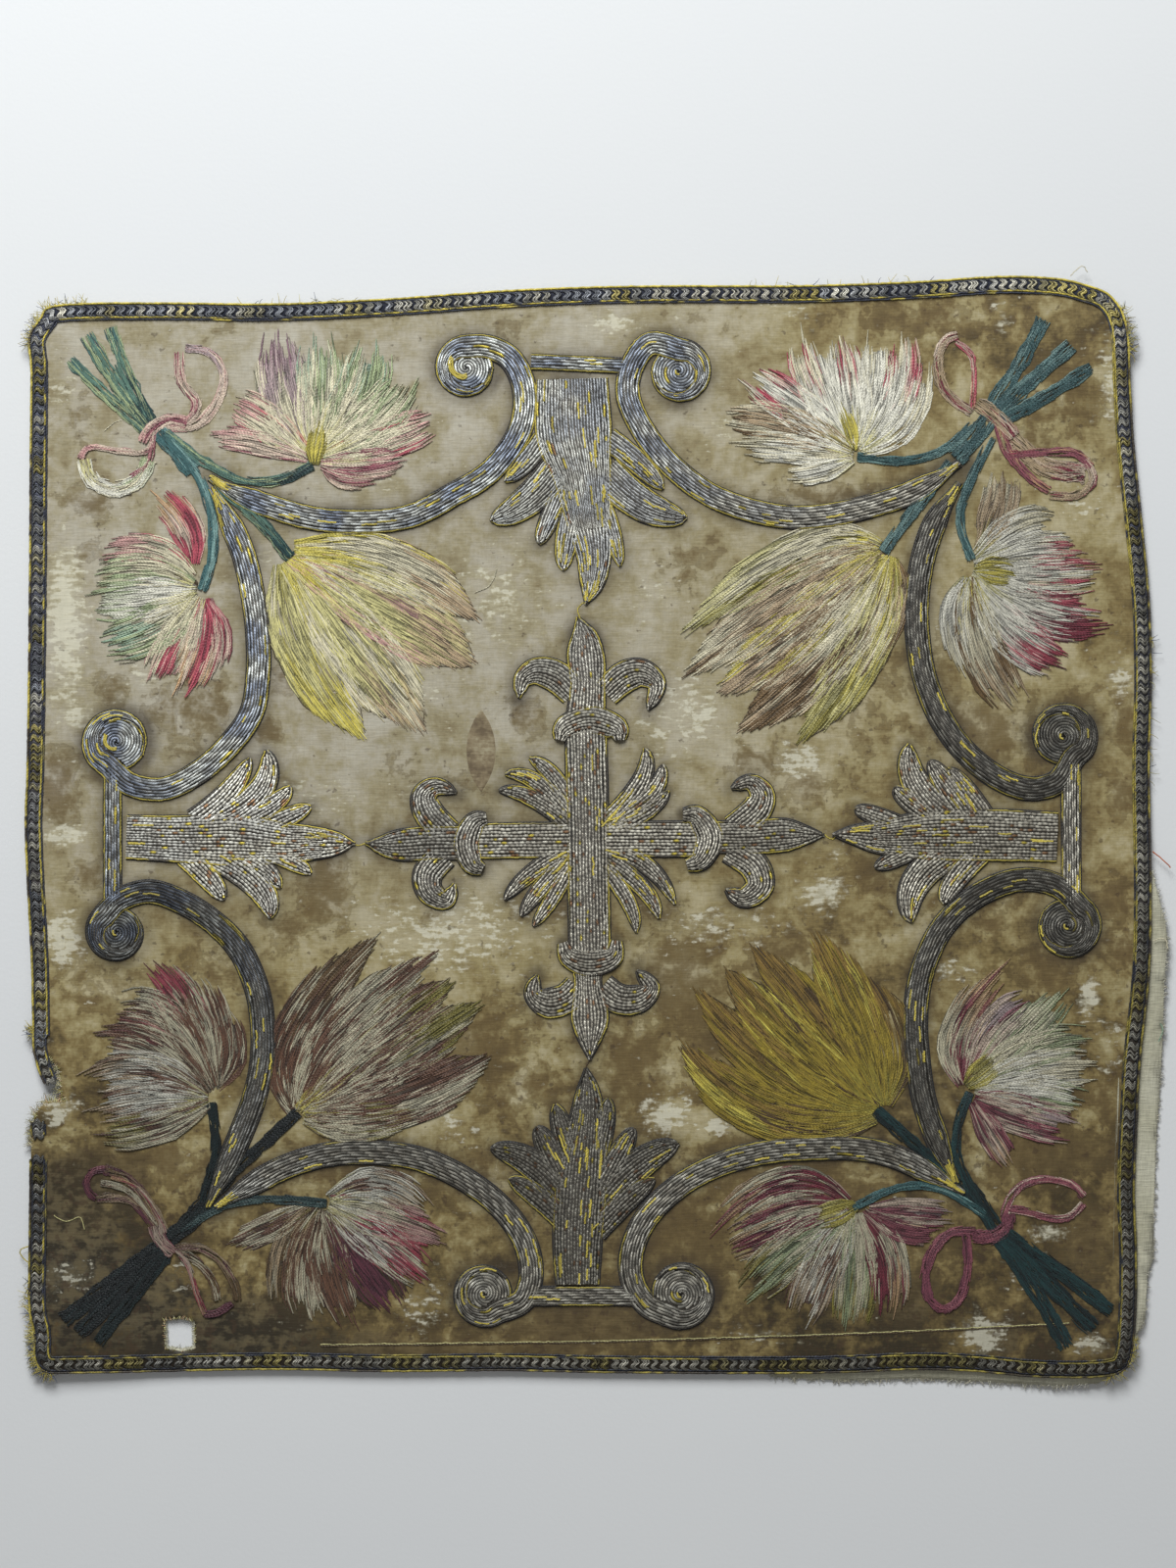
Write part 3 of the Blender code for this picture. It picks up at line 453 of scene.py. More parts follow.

# Stems and ribbons painted with the needle, and how fresh their colours are, partly fading and partly
# painted shade that is deepest towards the bottom left. Each of their bands has a paint, a half width
# and a middle line
Band = namedtuple("Band", "paint half_width route")
Bunch = namedtuple("Bunch", "name fresh bands")
BUNCHES = (
    Bunch("stems_top_left", 1.0, (
        Band("green_stem", 3.4, ((-240, 249), (-232, 226), (-219, 201))),
        Band("green_stem", 3.8, ((-252, 245), (-238, 222), (-221, 199))),
        Band("green_stem", 3.0, ((-260, 233), (-243, 216), (-222, 197))),
        Band("teal_stem", 4.6, ((-217, 198), (-208, 188), (-199, 178))),
        Band("green_stem", 2.6, ((-213, 197), (-191, 181), (-172, 173), (-155, 174), (-140, 181))),
        Band("teal_stem", 2.4, ((-211, 193), (-197, 176), (-190, 155), (-190, 134), (-195, 119))),
        Band("green_stem", 3.0, ((-188, 172), (-170, 157), (-151, 135))),
    )),
    Bunch("stems_top_right", 0.65, (
        Band("teal_stem", 4.0, ((221, 253), (209, 230), (195, 208))),
        Band("teal_stem", 4.0, ((235, 240), (215, 222), (198, 206))),
        Band("teal_stem", 3.6, ((245, 229), (221, 214), (200, 203))),
        Band("teal_stem", 4.6, ((195, 205), (186, 193), (178, 184))),
        Band("teal_stem", 2.4, ((186, 201), (171, 188), (151, 183), (129, 185))),
        Band("teal_stem", 2.4, ((196, 195), (183, 168), (180, 151), (186, 134))),
        Band("teal_stem", 3.2, ((176, 182), (159, 161), (142, 138))),
    )),
    Bunch("stems_bottom_left", 0.25, (
        Band("black_stem", 4.2, ((-263, -242), (-239, -223), (-215, -205))),
        Band("black_stem", 4.2, ((-256, -248), (-234, -228), (-214, -207))),
        Band("pine_stem", 3.6, ((-246, -253), (-230, -232), (-212, -208))),
        Band("black_stem", 4.6, ((-213, -204), (-203, -195), (-193, -184))),
        Band("teal_stem", 2.2, ((-205, -198), (-188, -187), (-165, -182), (-133, -184))),
        Band("pine_stem", 2.4, ((-195, -184), (-188, -159), (-190, -134))),
        Band("black_stem", 3.2, ((-191, -180), (-170, -160), (-147, -139))),
    )),
    Bunch("stems_bottom_right", 0.76, (
        Band("pine_stem", 4.0, ((233, -255), (215, -224), (198, -200))),
        Band("pine_stem", 4.2, ((246, -246), (222, -222), (200, -199))),
        Band("pine_stem", 3.8, ((255, -237), (228, -217), (201, -198))),
        Band("pine_stem", 4.6, ((198, -197), (191, -186), (182, -174))),
        Band("teal_stem", 2.3, ((193, -190), (171, -177), (150, -176), (127, -186))),
        Band("pine_stem", 2.4, ((186, -178), (178, -159), (180, -142), (185, -129))),
        Band("pine_stem", 3.2, ((180, -175), (159, -156), (138, -138))),
    )),
    Bunch("ribbon_top_left", 1.0, (
        Band("dusk", 2.5, ((-214, 201), (-199, 200), (-188, 211), (-184, 226), (-191, 237), (-203, 239))),
        Band("pink", 2.5, ((-206, 237), (-205, 222), (-197, 211), (-205, 201), (-214, 202))),
        Band("white_green", 4.2, ((-253, 184), (-250, 174), (-239, 169), (-227, 173), (-221, 184))),
        Band("pink", 1.7, ((-218, 198), (-222, 188), (-236, 188), (-250, 190), (-255, 184))),
        Band("dusky", 1.4, ((-219, 194), (-221, 182), (-230, 175))),
        Band("cream_pink", 3.8, ((-224, 192), (-220, 199), (-211, 204), (-202, 202))),
    )),
    Bunch("ribbon_top_right", 0.85, (
        Band("peach", 5.0, ((205, 194), (222, 180), (242, 177))),
        Band("peach", 2.7, ((186, 207), (174, 216), (169, 230), (172, 242), (179, 245))),
        Band("rose", 1.7, ((178, 242), (186, 235), (187, 222), (186, 209))),
        Band("dark_rose", 2.5, ((199, 203), (203, 189), (213, 176), (224, 168))),
        Band("peach", 2.3, ((224, 166), (238, 166), (246, 174), (242, 184))),
        Band("dark_rose", 2.3, ((204, 186), (221, 187), (236, 187), (245, 180))),
        Band("peach", 3.6, ((188, 212), (198, 205), (207, 195))),
    )),
    Bunch("ribbon_bottom_left", 0.48, (
        Band("faded", 2.7, ((-213, -199), (-221, -184), (-231, -172), (-243, -167))),
        Band("madder", 1.7, ((-241, -167), (-250, -169), (-252, -176), (-247, -182))),
        Band("faded", 2.2, ((-247, -182), (-237, -181), (-228, -184), (-216, -199))),
        Band("brown_mottled", 1.9, ((-217, -196), (-224, -186), (-233, -177), (-245, -174))),
        Band("rose", 1.0, ((-213, -199), (-218, -188), (-227, -176), (-240, -171))),
        Band("brown_purple", 2.2, ((-206, -208), (-197, -213), (-190, -221), (-187, -232))),
        Band("rose", 1.4, ((-209, -206), (-201, -215), (-198, -227), (-193, -239))),
        Band("faded", 2.3, ((-208, -206), (-196, -206), (-186, -212), (-179, -223), (-177, -232))),
        Band("madder", 2.0, ((-194, -239), (-187, -238), (-180, -233))),
        Band("cream_pink", 3.2, ((-218, -195), (-216, -202), (-209, -209))),
    )),
    Bunch("ribbon_bottom_right", 0.85, (
        Band("dusky", 2.2, ((201, -191), (207, -178), (219, -172), (234, -174), (241, -181))),
        Band("dusky", 2.0, ((204, -187), (213, -188), (223, -191), (234, -191), (241, -184))),
        Band("madder", 2.6, ((188, -197), (174, -199), (165, -210), (163, -223), (165, -232))),
        Band("madder", 2.2, ((163, -229), (171, -237), (180, -231), (184, -216), (183, -199))),
        Band("madder", 4.0, ((186, -200), (195, -201), (203, -196), (204, -189))),
    )),
)

# Marks on the silk: the place, reach along x and y, and strength of each
Mark = namedtuple("Mark", "x y reach_x reach_y strength")
BROWN_MARKS = (
    (-252, 163, 18, 9, 0.9), (-255, 205, 8, 25, 0.6), (-250, 138, 9, 10, 0.8), (-266, 22, 12, 19, 1),
    (-239, 72, 12, 10, 0.6), (-201, 62, 29, 20, 0.8), (-152, 76, 9, 10, 1), (-163, 50, 8, 6, 1),
    (-125, 56, 6, 4, 0.8), (-97, 34, 14, 12, 0.6), (-36, 57, 11, 13, 0.8), (-65, 26, 12, 10, 0.6),
    (-180, 247, 31, 9, 0.35), (-53, 249, 29, 9, 0.5), (-272, 45, 8, 12, 0.5), (-138, 74, 12, 15, 0.4),
    (50, 132, 21, 12, 0.7), (79, 34, 17, 9, 0.9), (105, 21, 14, 11, 0.9), (117, 69, 25, 18, 0.6),
    (188, 49, 29, 21, 0.9), (260, 55, 7, 15, 0.9), (260, 18, 7, 12, 0.9), (234, 216, 23, 21, 0.7),
    (213, 193, 17, 12, 0.6), (109, 166, 31, 7, 0.8), (159, 253, 42, 9, 0.6), (50, 253, 25, 9, 0.5),
    (176, 90, 12, 23, 0.6), (132, 38, 12, 13, 0.5), (242, 70, 10, 12, 0.5), (151, 65, 12, 31, 0.5),
    (94, 55, 10, 12, 0.5), (-251, -22, 11, 12, 0.8), (-257, -67, 13, 15, 0.6), (-133, -29, 13, 29, 0.9),
    (-153, -50, 13, 12, 0.8), (-82, -42, 5, 4, 0.9), (-62, -107, 29, 23, 0.9), (-65, -169, 33, 12, 0.7),
    (-26, -34, 17, 17, 0.6), (-245, -169, 29, 13, 1), (-213, -162, 9, 7, 1.3), (-261, -198, 21, 33, 1.1),
    (-228, -228, 19, 17, 0.9), (-113, -170, 42, 9, 0.7), (-168, -242, 29, 13, 0.9), (-69, -259, 63, 9, 0.9),
    (-11, -245, 25, 9, 1.2), (-109, -254, 17, 10, 0.8), (-188, -69, 13, 17, 0.7), (-188, -165, 12, 12, 0.7),
    (-238, -79, 25, 12, 0.6), (-40, -125, 23, 17, 0.7), (-101, -155, 17, 8, 0.5), (44, -69, 23, 29, 0.9),
    (19, -115, 21, 29, 0.8), (133, -21, 16, 12, 0.7), (140, -27, 5, 5, 1.2), (199, -34, 10, 12, 0.7),
    (196, -47, 9, 5, 0.8), (94, -60, 21, 12, 0.7), (255, -34, 10, 12, 0.7), (260, -60, 8, 8, 0.8),
    (224, -69, 17, 12, 0.7), (94, -174, 40, 12, 0.8), (217, -159, 33, 15, 0.8), (252, -132, 10, 12, 0.8),
    (44, -199, 25, 33, 0.8), (0, -245, 33, 9, 1.2), (155, -230, 12, 12, 0.8), (202, -250, 6, 10, 0.9),
    (242, -201, 13, 17, 0.7), (159, -213, 17, 23, 0.5), (50, -105, 15, 15, 0.6), (165, -36, 8, 15, 0.5),
    (270, -125, 8, 10, 0.6), (67, -153, 27, 8, 0.4),
)
PALE_MARKS = (
    (-261, 218, 12, 12, 0.5), (-262, 103, 10, 46, 1), (-172, 136, 13, 6, 0.6), (-94, 72, 17, 12, 0.7),
    (-48, 116, 25, 29, 0.6), (-67, 92, 12, 12, 0.5), (-84, 17, 21, 12, 0.4), (-138, 17, 29, 10, 0.5),
    (-111, 178, 21, 12, 0.4), (-222, 76, 13, 6, 0.6), (-257, 57, 13, 8, 0.8), (9, 251, 15, 6, 0.8),
    (94, 259, 12, 6, 0.7), (69, 199, 13, 8, 0.6), (28, 116, 13, 15, 0.6), (44, 57, 25, 23, 0.6),
    (102, 34, 15, 12, 0.7), (254, 222, 7, 23, 0.8), (242, 163, 15, 12, 0.4), (259, 77, 7, 13, 0.7),
    (25, 78, 15, 12, 0.5), (55, 59, 4, 4, 1.2), (42, 253, 4, 12, 0.6), (201, 255, 4, 10, 0.7),
    (-262, -2, 12, 5, 1), (-263, -54, 10, 13, 1), (-261, -220, 17, 10, 0.6), (-74, -52, 50, 21, 0.7),
    (-92, -132, 21, 12, 0.6), (-71, -144, 17, 12, 0.5), (-88, -234, 13, 12, 0.5), (-264, -138, 8, 8, 1),
    (-107, -94, 15, 12, 0.3), (-205, -221, 12, 15, 0.4), (112, -30, 12, 9, 1), (63, -46, 33, 12, 0.6),
    (36, -140, 12, 9, 1.1), (59, -146, 13, 4, 1), (244, -82, 5, 11, 1.0), (178, -69, 15, 6, 0.6),
    (252, -103, 9, 19, 0.5), (224, -199, 12, 4, 0.8), (213, -217, 13, 12, 0.5), (190, -249, 12, 9, 1.1),
    (244, -254, 11, 5, 1), (82, -250, 17, 5, 0.6), (2, -146, 17, 12, 0.5), (117, -11, 12, 8, 0.5),
)

# The braid's cords: the place in from its edge, half width, rise and colour, how much yellow shows,
# how much more of it shows along the top and along the right, and the number of its noise
Cord = namedtuple("Cord", "offset half_width rise colour yellow at_top at_right seed")
BRAID_CORDS = (
    Cord(0.6, 0.6, 0.9, "brown_black", 0.25, 0.4, 0.0, 13),
    Cord(1.8, 0.5, 0.8, "blue_black", -1.0, 0.0, 0.0, 14),
    Cord(7.4, 0.55, 0.85, "blue_black", 0.36, 0.0, 0.2, 20),
    Cord(8.4, 0.45, 0.7, "blue_black", 0.0, 0.0, 0.2, 21),
)
# Its tape and its loops: the place in from the edge, and the reach to each side of it
TAPE_OFFSET = 4.4
TAPE_HALF_WIDTH = 4.0
LOOP_OFFSET = 4.6
LOOP_REACH = 2.6
LOOP_PITCH = 4.9
BRAID_LEVEL = SILK_TOP + 0.35
BRAID_STEP = 1.6
BRAID_TAIL = ((-278.4, -100), (-278, -108), (-275.5, -118), (-272.5, -125))
BRAID_TAIL_WIDTH = 7.0
BRAID_SCRAP = ((-279, -143.5), (-279.5, -147), (-279.2, -150.5))
BRAID_SCRAP_WIDTH = 8.0
# The layers of loops along the braid: where each starts, and how bright it is
LOOP_LAYERS = ((0.0, 0.95), (1.0, 0.65), (-1.0, 0.8))

# Yellow tufts that stand out of the braid
Tuft = namedtuple("Tuft", "x y reach fullness")
TUFTS = (
    Tuft(262, 247, 12, 4), Tuft(-279, 246, 8, 4), Tuft(-278, -104, 8, 8), Tuft(-264, 258, 14, 2),
    Tuft(-278, -236, 16, 2), Tuft(262, -262, 12, 3), Tuft(-276, -258, 13, 7), Tuft(-150, 262, 40, 0.2),
    Tuft(120, 271, 50, 0.2), Tuft(275, 60, 40, 0.3),
)
TUFT_COLOURS = ("gilt", "straw", "gilt", "navy")

# Threads that lie loose on the silk
Loose = namedtuple("Loose", "colour half_width route")
LOOSE_THREADS = (
    # First a dark line, painted shadow below the crease; the straw thread after it stands for the crease
    Loose("umber", 0.3, (
        (-136, -254.7), (-60, -253.7), (6, -252.7), (110, -249.7), (180, -246.7), (234, -243.7),
    )),
    Loose("straw", 0.28, ((-136, -254), (-60, -253), (6, -252), (110, -249), (180, -246), (234, -243))),
    Loose("gilt", 0.3, ((-6, 113), (-9, 110), (-8, 106))),
    Loose("umber", 0.3, ((-3, -113), (-5, -117), (-3, -120))),
    Loose("gilt", 0.35, ((112, -1), (117, -4), (120, -1), (124, -3))),
    Loose("gilt", 0.35, ((-114, -6), (-118, -7), (-121, -5))),
    Loose("orange", 0.3, ((275, -10), (280, -14), (284, -18))),
    Loose("cream", 0.3, ((275, -54), (281, -53), (282, -58))),
    Loose("mint", 0.35, ((279, -95), (280, -99), (278, -104))),
    Loose("gilt", 0.3, ((-280, -205), (-285, -208), (-281, -213))),
    Loose("straw", 0.25, ((-268, -190), (-262, -193), (-255, -191), (-253, -197))),
    Loose("cream", 0.25, ((234, 274), (240, 279), (243, 276))),
    Loose("cream", 0.25, ((-243, 198), (-236, 203), (-230, 201))),
    Loose("cream", 0.25, ((-60, 118), (-52, 122), (-49, 130))),
    Loose("cream", 0.25, ((90, 210), (97, 214), (108, 212))),
)

# Frayed edges: the colours of the ends
LINEN_ENDS = ("linen", "cream", "white")
SILK_ENDS = ("cream", "straw", "tan", "olive")

# The pointed oval of darker silk
PATCH_CENTRE = (-56.8, 39.8)
PATCH_HALF_WIDTH = 6.8
PATCH_HALF_HEIGHT = 20.0

# The grids that the cloths are made of: how far they reach from the middle, and their steps
GRID_REACH = 300
SHEET_STEP = 3.4
LINEN_STEP = 8.0

SHADE_AND_DIRT_REACH = 3.2  # how far the painted shade and dirt reach on the silk round the raised work
SHADE_AND_DIRT_STEP = 4.0  # along the bodies, between the places that it is measured from

# Rows of couched metal thread
ROW_STEP = 0.95  # from one place along a row to the next
ROW_HEIGHT = 0.55
ROW_SHARE = 0.46  # a row's half width, of the room that it has
ROW_SINK = 0.15  # how far the rows press into the padding
LEAST_ROW_SHARE = 0.55  # a row stops where it would be narrower than this share of the pitch
CORD_RADIUS = 0.5
EDGE_WIDTH = 0.9  # of the cords round a body
EDGE_CORD_OUT = 0.25  # how far its edge cord lies outside its rows
DARK_CORD_IN = 0.1  # how far the dark cord lies inside the body's own edge
CROWN = 0.8  # how round a body is across: 0 is flat
COIL_ARMS = 3  # the rows that run round in a coil
COIL_DRIFT = COIL_ARMS * RIBBED.pitch / (2 * math.pi)  # how far in a coil's rows run in a turn of one radian
COIL_RISE = 0.6
COIL_LEAD = 3  # how far the stitches that line up shift from one arm of a coil to the next
ROLL_ANGLE = 5.4  # the turn over which a ribbon would narrow to nothing in its coil

# How much is added to the half width of each kind of body, and along a hook from root to tip
RAY_FULLNESS = 0.8
BLADE_FULLNESS = 1.1
COLLAR_FULLNESS = 1.2
HOOK_FULLNESS = (3.2, 2.6, 1.6, 0.8, -0.4)
HOOK_ROUNDING = 4  # how far back from its tip a hook is rounded

BAR_LAP = 2.0  # how far a bar reaches on to its scrolls

# How high each kind of body is padded
RIBBON_PAD = 1.2
BODY_PAD = 1.2
BLADE_PAD = 1.0
BAR_PAD = 0.9
RAY_PAD = 0.8
UPRIGHT_PAD = 1.3
COLLAR_PAD = 2.0

METAL_BRIGHTNESS = 1.25

# How brightly the cross shines, and how much its arms, leaves and upright differ
CROSS_SHINE = 0.8
ARM_SHINE = 1.38
LEAF_SHINE = 0.95
UPRIGHT_SHINE = 0.81

# How many bits of the yellow core show in a square millimetre of worn metal
RIBBON_STREAKS = 0.006
ROOT_STREAKS = 0.12
RAY_STREAKS = 0.01
UPRIGHT_STREAKS = 0.002

# Cross sections of threads and of padding, as places across and up
RIDGE = ((1, 0), (0, 1), (-1, 0))
DOME = ((-1, 0), (-0.75, 0.8), (0, 1), (1, 1))
PAD = ((1, 0), (0.8, 0.6), (0.4, 0.92), (0, 1), (-0.4, 0.92), (-0.8, 0.6), (-1, 0))

# Stitches of floss silk. The taper is a stitch's width at its start, middle and end
STITCH_LENGTH = (6.0, 15.0)
STITCH_WIDTH = 0.8
STITCH_HEIGHT = 0.27
STITCH_TAPER = np.array([0.5, 1.0, 0.4])
COVERAGE = 2.6  # how many times over the stitches cover a petal or band
BAND_COVERAGE = 1.3 * COVERAGE
UNDERLAY_ROWS = 7
BAND_STITCH_LENGTH = (6, 14)
PETAL_LEVEL = SILK_TOP + 0.05
BAND_LEVEL = SILK_TOP + 0.06
LAYER_STEP = 0.05  # how far each petal or band lies above the one before
TIP_DEPTH = 0.24  # how far a pointed petal's sides fall back from its tip, as a share of its length
TIP_POWER = 1.4

# The camera, and the part of the floor that it sees
LENS = 70
SENSOR_SIZE = 36  # its longer side
FRAME_HEIGHT = 776.6
FRAME_MIDDLE = (-3.9, 23.3)

# Lamps, in metres and watts, and the light of the room round them
Lamp = namedtuple("Lamp", "name location size power colour")
LAMPS = (
    Lamp("window", (-0.5, 1.9, 1.5), 1.1, 82, (0.93, 0.97, 1.0)),
    Lamp("room", (0.4, -1.3, 1.7), 1.6, 3, (1.0, 0.94, 0.86)),
)
ROOM_COLOUR = (0.9, 0.95, 1.0, 1)
ROOM_STRENGTH = 0.2
FLOOR_REACH = 3.0
FLOOR_DROP = 0.0002  # below the veil, so that the two don't touch

NOISE_RANGE = (0.3, 0.7)  # what a noise texture mostly keeps to

draw = np.random.default_rng(7)


def decoded(values):
    """Colour values out of 255 as the linear ones that Blender's shaders work in."""
    values = np.array(values) / 255
    return np.where(values <= 0.04045, values / 12.92, ((values + 0.055) / 1.055) ** 2.4)


def linear(name):
    """The named colour as red, green and blue that threads can be tinted with."""
    return decoded(COLOURS[name])


def rgb(*values):
    """A colour out of 255 as a shader takes it."""
    return (*decoded(values), 1)


def lift(x, y):
    """How far the cloth's underside stands off the surface."""
    height = np.zeros(np.shape(x))
    for swell in LIFTS:
        share = np.hypot(x - swell.x, y - swell.y) / swell.reach
        height += np.where(share < 1, swell.height * (1 - share**2) ** 2, 0)
    return height


def patchy(x, y, size, seed):
    """Smooth noise from 0 to 1 over the plane, in patches of about a size."""
    cells = 64
    values = np.random.default_rng(seed).random((cells, cells))
    u, v = np.asarray(x) / size, np.asarray(y) / size
    i, j = np.floor(u).astype(int), np.floor(v).astype(int)
    u, v = u - i, v - j
    u, v = u * u * (3 - 2 * u), v * v * (3 - 2 * v)
    low = values[i % cells, j % cells] * (1 - u) + values[(i + 1) % cells, j % cells] * u
    high = values[i % cells, (j + 1) % cells] * (1 - u) + values[(i + 1) % cells, (j + 1) % cells] * u
    return low * (1 - v) + high * v


def ramp(value, low, high):
    """0 up to the low value, 1 from the high one, and smooth between."""
    share = np.clip((value - low) / (high - low), 0, 1)
    return share * share * (3 - 2 * share)


def blended(share, first, second):
    """Colours that go from the first to the second as their share goes from 0 to 1."""
    share = np.asarray(share)[..., None]
    return first * (1 - share) + second * share


def even(line, step):
    """The same line of rows in even steps."""
    lengths = np.hypot(*np.diff(line[:, :2], axis=0).T)
    reach = np.concatenate([[0], np.cumsum(lengths)])
    count = max(3, round(reach[-1] / step) + 1)
    at = np.linspace(0, reach[-1], count)
    return np.column_stack([np.interp(at, reach, column) for column in line.T])


def smooth_line(rows, step):
    """A smooth line through rows of x, y and any further columns, in even steps."""
    rows = np.asarray(rows, float)
    padded = np.vstack([rows[:1], rows, rows[-1:]])
    t = np.linspace(0, 1, 12, endpoint=False)[:, None]
    parts = []
    for before, start, end, after in zip(padded, padded[1:], padded[2:], padded[3:]):
        slope_at_start = (end - before) / 2
        slope_at_end = (after - start) / 2
        square_term = 3 * (end - start) - 2 * slope_at_start - slope_at_end
        cube_term = 2 * (start - end) + slope_at_start + slope_at_end
        parts.append(start + slope_at_start * t + square_term * t**2 + cube_term * t**3)
    return even(np.vstack([*parts, rows[-1:]]), step)


def sideways(line):
    """The unit vectors to the left of a line, or of each of many lines."""
    run = np.gradient(line[..., :2], axis=-2)
    length = np.maximum(np.hypot(run[..., 0], run[..., 1]), 1e-6)
    return np.stack([-run[..., 1], run[..., 0]], axis=-1) / length[..., None]


def beside(line, distance):
    """The line moved to its left by a distance, which may change along it."""
    distance = np.broadcast_to(distance, line.shape[:-1])
    return line[..., :2] + sideways(line) * distance[..., None]


def shaken(line, spread):
    """The line with each of its places moved a little at random."""
    return line + draw.normal(0, spread, line.shape)


def inset(line, distance):
    """The line moved to its left, without the places that a tight corner would fold over."""
    moved = beside(line, distance)
    gaps = np.hypot(*(moved[:, None, :] - line[None, :, :2]).transpose(2, 0, 1))
    return moved[gaps.min(axis=1) > 0.97 * abs(distance)]


def curve_through(root, middle, tip):
    """A function from shares of the way to places on a curve through three points."""
    root, middle, tip = (np.array(place, float) for place in (root, middle, tip))

    def place(t):
        t = t[..., None]
        return (1 - t) * (1 - 2 * t) * root + 4 * t * (1 - t) * middle + t * (2 * t - 1) * tip

    return place


def ring(centre, radius, angle):
    """Places round a centre, at radii and angles."""
    return np.array(centre, float) + np.column_stack([radius * np.cos(angle), radius * np.sin(angle)])


def grid_faces(numbers):
    """The four-sided faces between points that are numbered in rows and columns."""
    corners = [numbers[..., :-1, :-1], numbers[..., :-1, 1:], numbers[..., 1:, 1:], numbers[..., 1:, :-1]]
    return np.stack(corners, axis=-1).reshape(-1, 4)


class Threads:
    """Threads and padding that are gathered here, to become one mesh."""

    def __init__(self):
        self.places = []
        self.quads = []
        self.tints = []
        self.courses = []
        self.kinds = []
        self.count = 0

    def add(self, lines, height, half_width, rise, tint, kind=0, section=RIDGE):
        """Lays threads along lines of x and y, at a height over the lifted cloth.

        Many lines with the same number of stations may come at once. The kind is the
        number of the thread's material.
        """
        lines = np.asarray(lines, float)[..., :2]
        if lines.ndim == 2:
            lines = lines[None]
        shape = lines.shape[:2]
        height, half_width, rise = (np.broadcast_to(value, shape) for value in (height, half_width, rise))
        across, up = np.array(section, float).T
        side = sideways(lines)
        flat = lines[:, :, None, :] + side[:, :, None, :] * (half_width[..., None] * across)[..., None]
        ground = lift(lines[..., 0], lines[..., 1]) + height
        z = ground[..., None] + rise[..., None] * up
        places = np.concatenate([flat, z[..., None]], axis=-1)
        lengths = np.hypot(*np.diff(lines, axis=1).transpose(2, 0, 1))
        along = np.concatenate([np.zeros((shape[0], 1)), np.cumsum(lengths, axis=1)], axis=1)
        along = along + draw.random((shape[0], 1)) * 10
        course = np.zeros((*shape, len(section), 3))
        course[..., 0] = along[..., None]
        course[..., 1] = across / 2 + 0.5
        course[..., 2] = draw.random((shape[0], 1, 1))
        tint = np.asarray(tint, float)
        if tint.ndim == 2 and len(tint) == shape[0] and shape[0] > 1:
            tint = tint[:, None, :]
        tint = np.broadcast_to(tint, (*shape, 3))[:, :, None, :]
        tint = np.broadcast_to(tint, (*shape, len(section), 3))
        numbers = self.count + np.arange(places[..., 0].size).reshape(places.shape[:3])
        quads = grid_faces(numbers)
        self.places.append(places.reshape(-1, 3))
        self.tints.append(tint.reshape(-1, 3))
        self.courses.append(course.reshape(-1, 3))
        self.quads.append(quads)
        self.kinds.append(np.full(len(quads), kind))
        self.count += numbers.size

    def piece(self, name, looks):
        """The one mesh object of all the threads."""
        made = mesh_piece(name, np.vstack(self.places), np.vstack(self.quads), looks)
        fill(made, "tint", "FLOAT_COLOR", np.hstack([np.vstack(self.tints), np.ones((self.count, 1))]))
        fill(made, "course", "FLOAT_VECTOR", np.vstack(self.courses))
        made.data.polygons.foreach_set("material_index", np.concatenate(self.kinds).astype(np.int32))
        return made


def declare(piece, node=None):
    """Hides the solid that a piece stands for, if any, and attaches the piece to the root that it rides on.
    """
    if node:
        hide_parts(node)
    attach(piece, "root")
    return piece


def mesh_piece(name, places, faces, looks):
    """A smooth mesh object, from places in millimetres."""
    data = bpy.data.meshes.new(name)
    data.from_pydata((places * METRES).tolist(), [], faces.tolist())
    data.shade_smooth()
    for look in looks:
        data.materials.append(look)
    made = bpy.data.objects.new(name, data)
    bpy.context.scene.collection.objects.link(made)
    return made


def fill(piece, name, kind, values):
    """Stores values at the piece's points, for its material to read."""
    key = "color" if kind == "FLOAT_COLOR" else "value" if kind == "FLOAT" else "vector"
    attribute = piece.data.attributes.new(name, kind, "POINT")
    attribute.data.foreach_set(key, np.ascontiguousarray(values, dtype=np.float32).ravel())


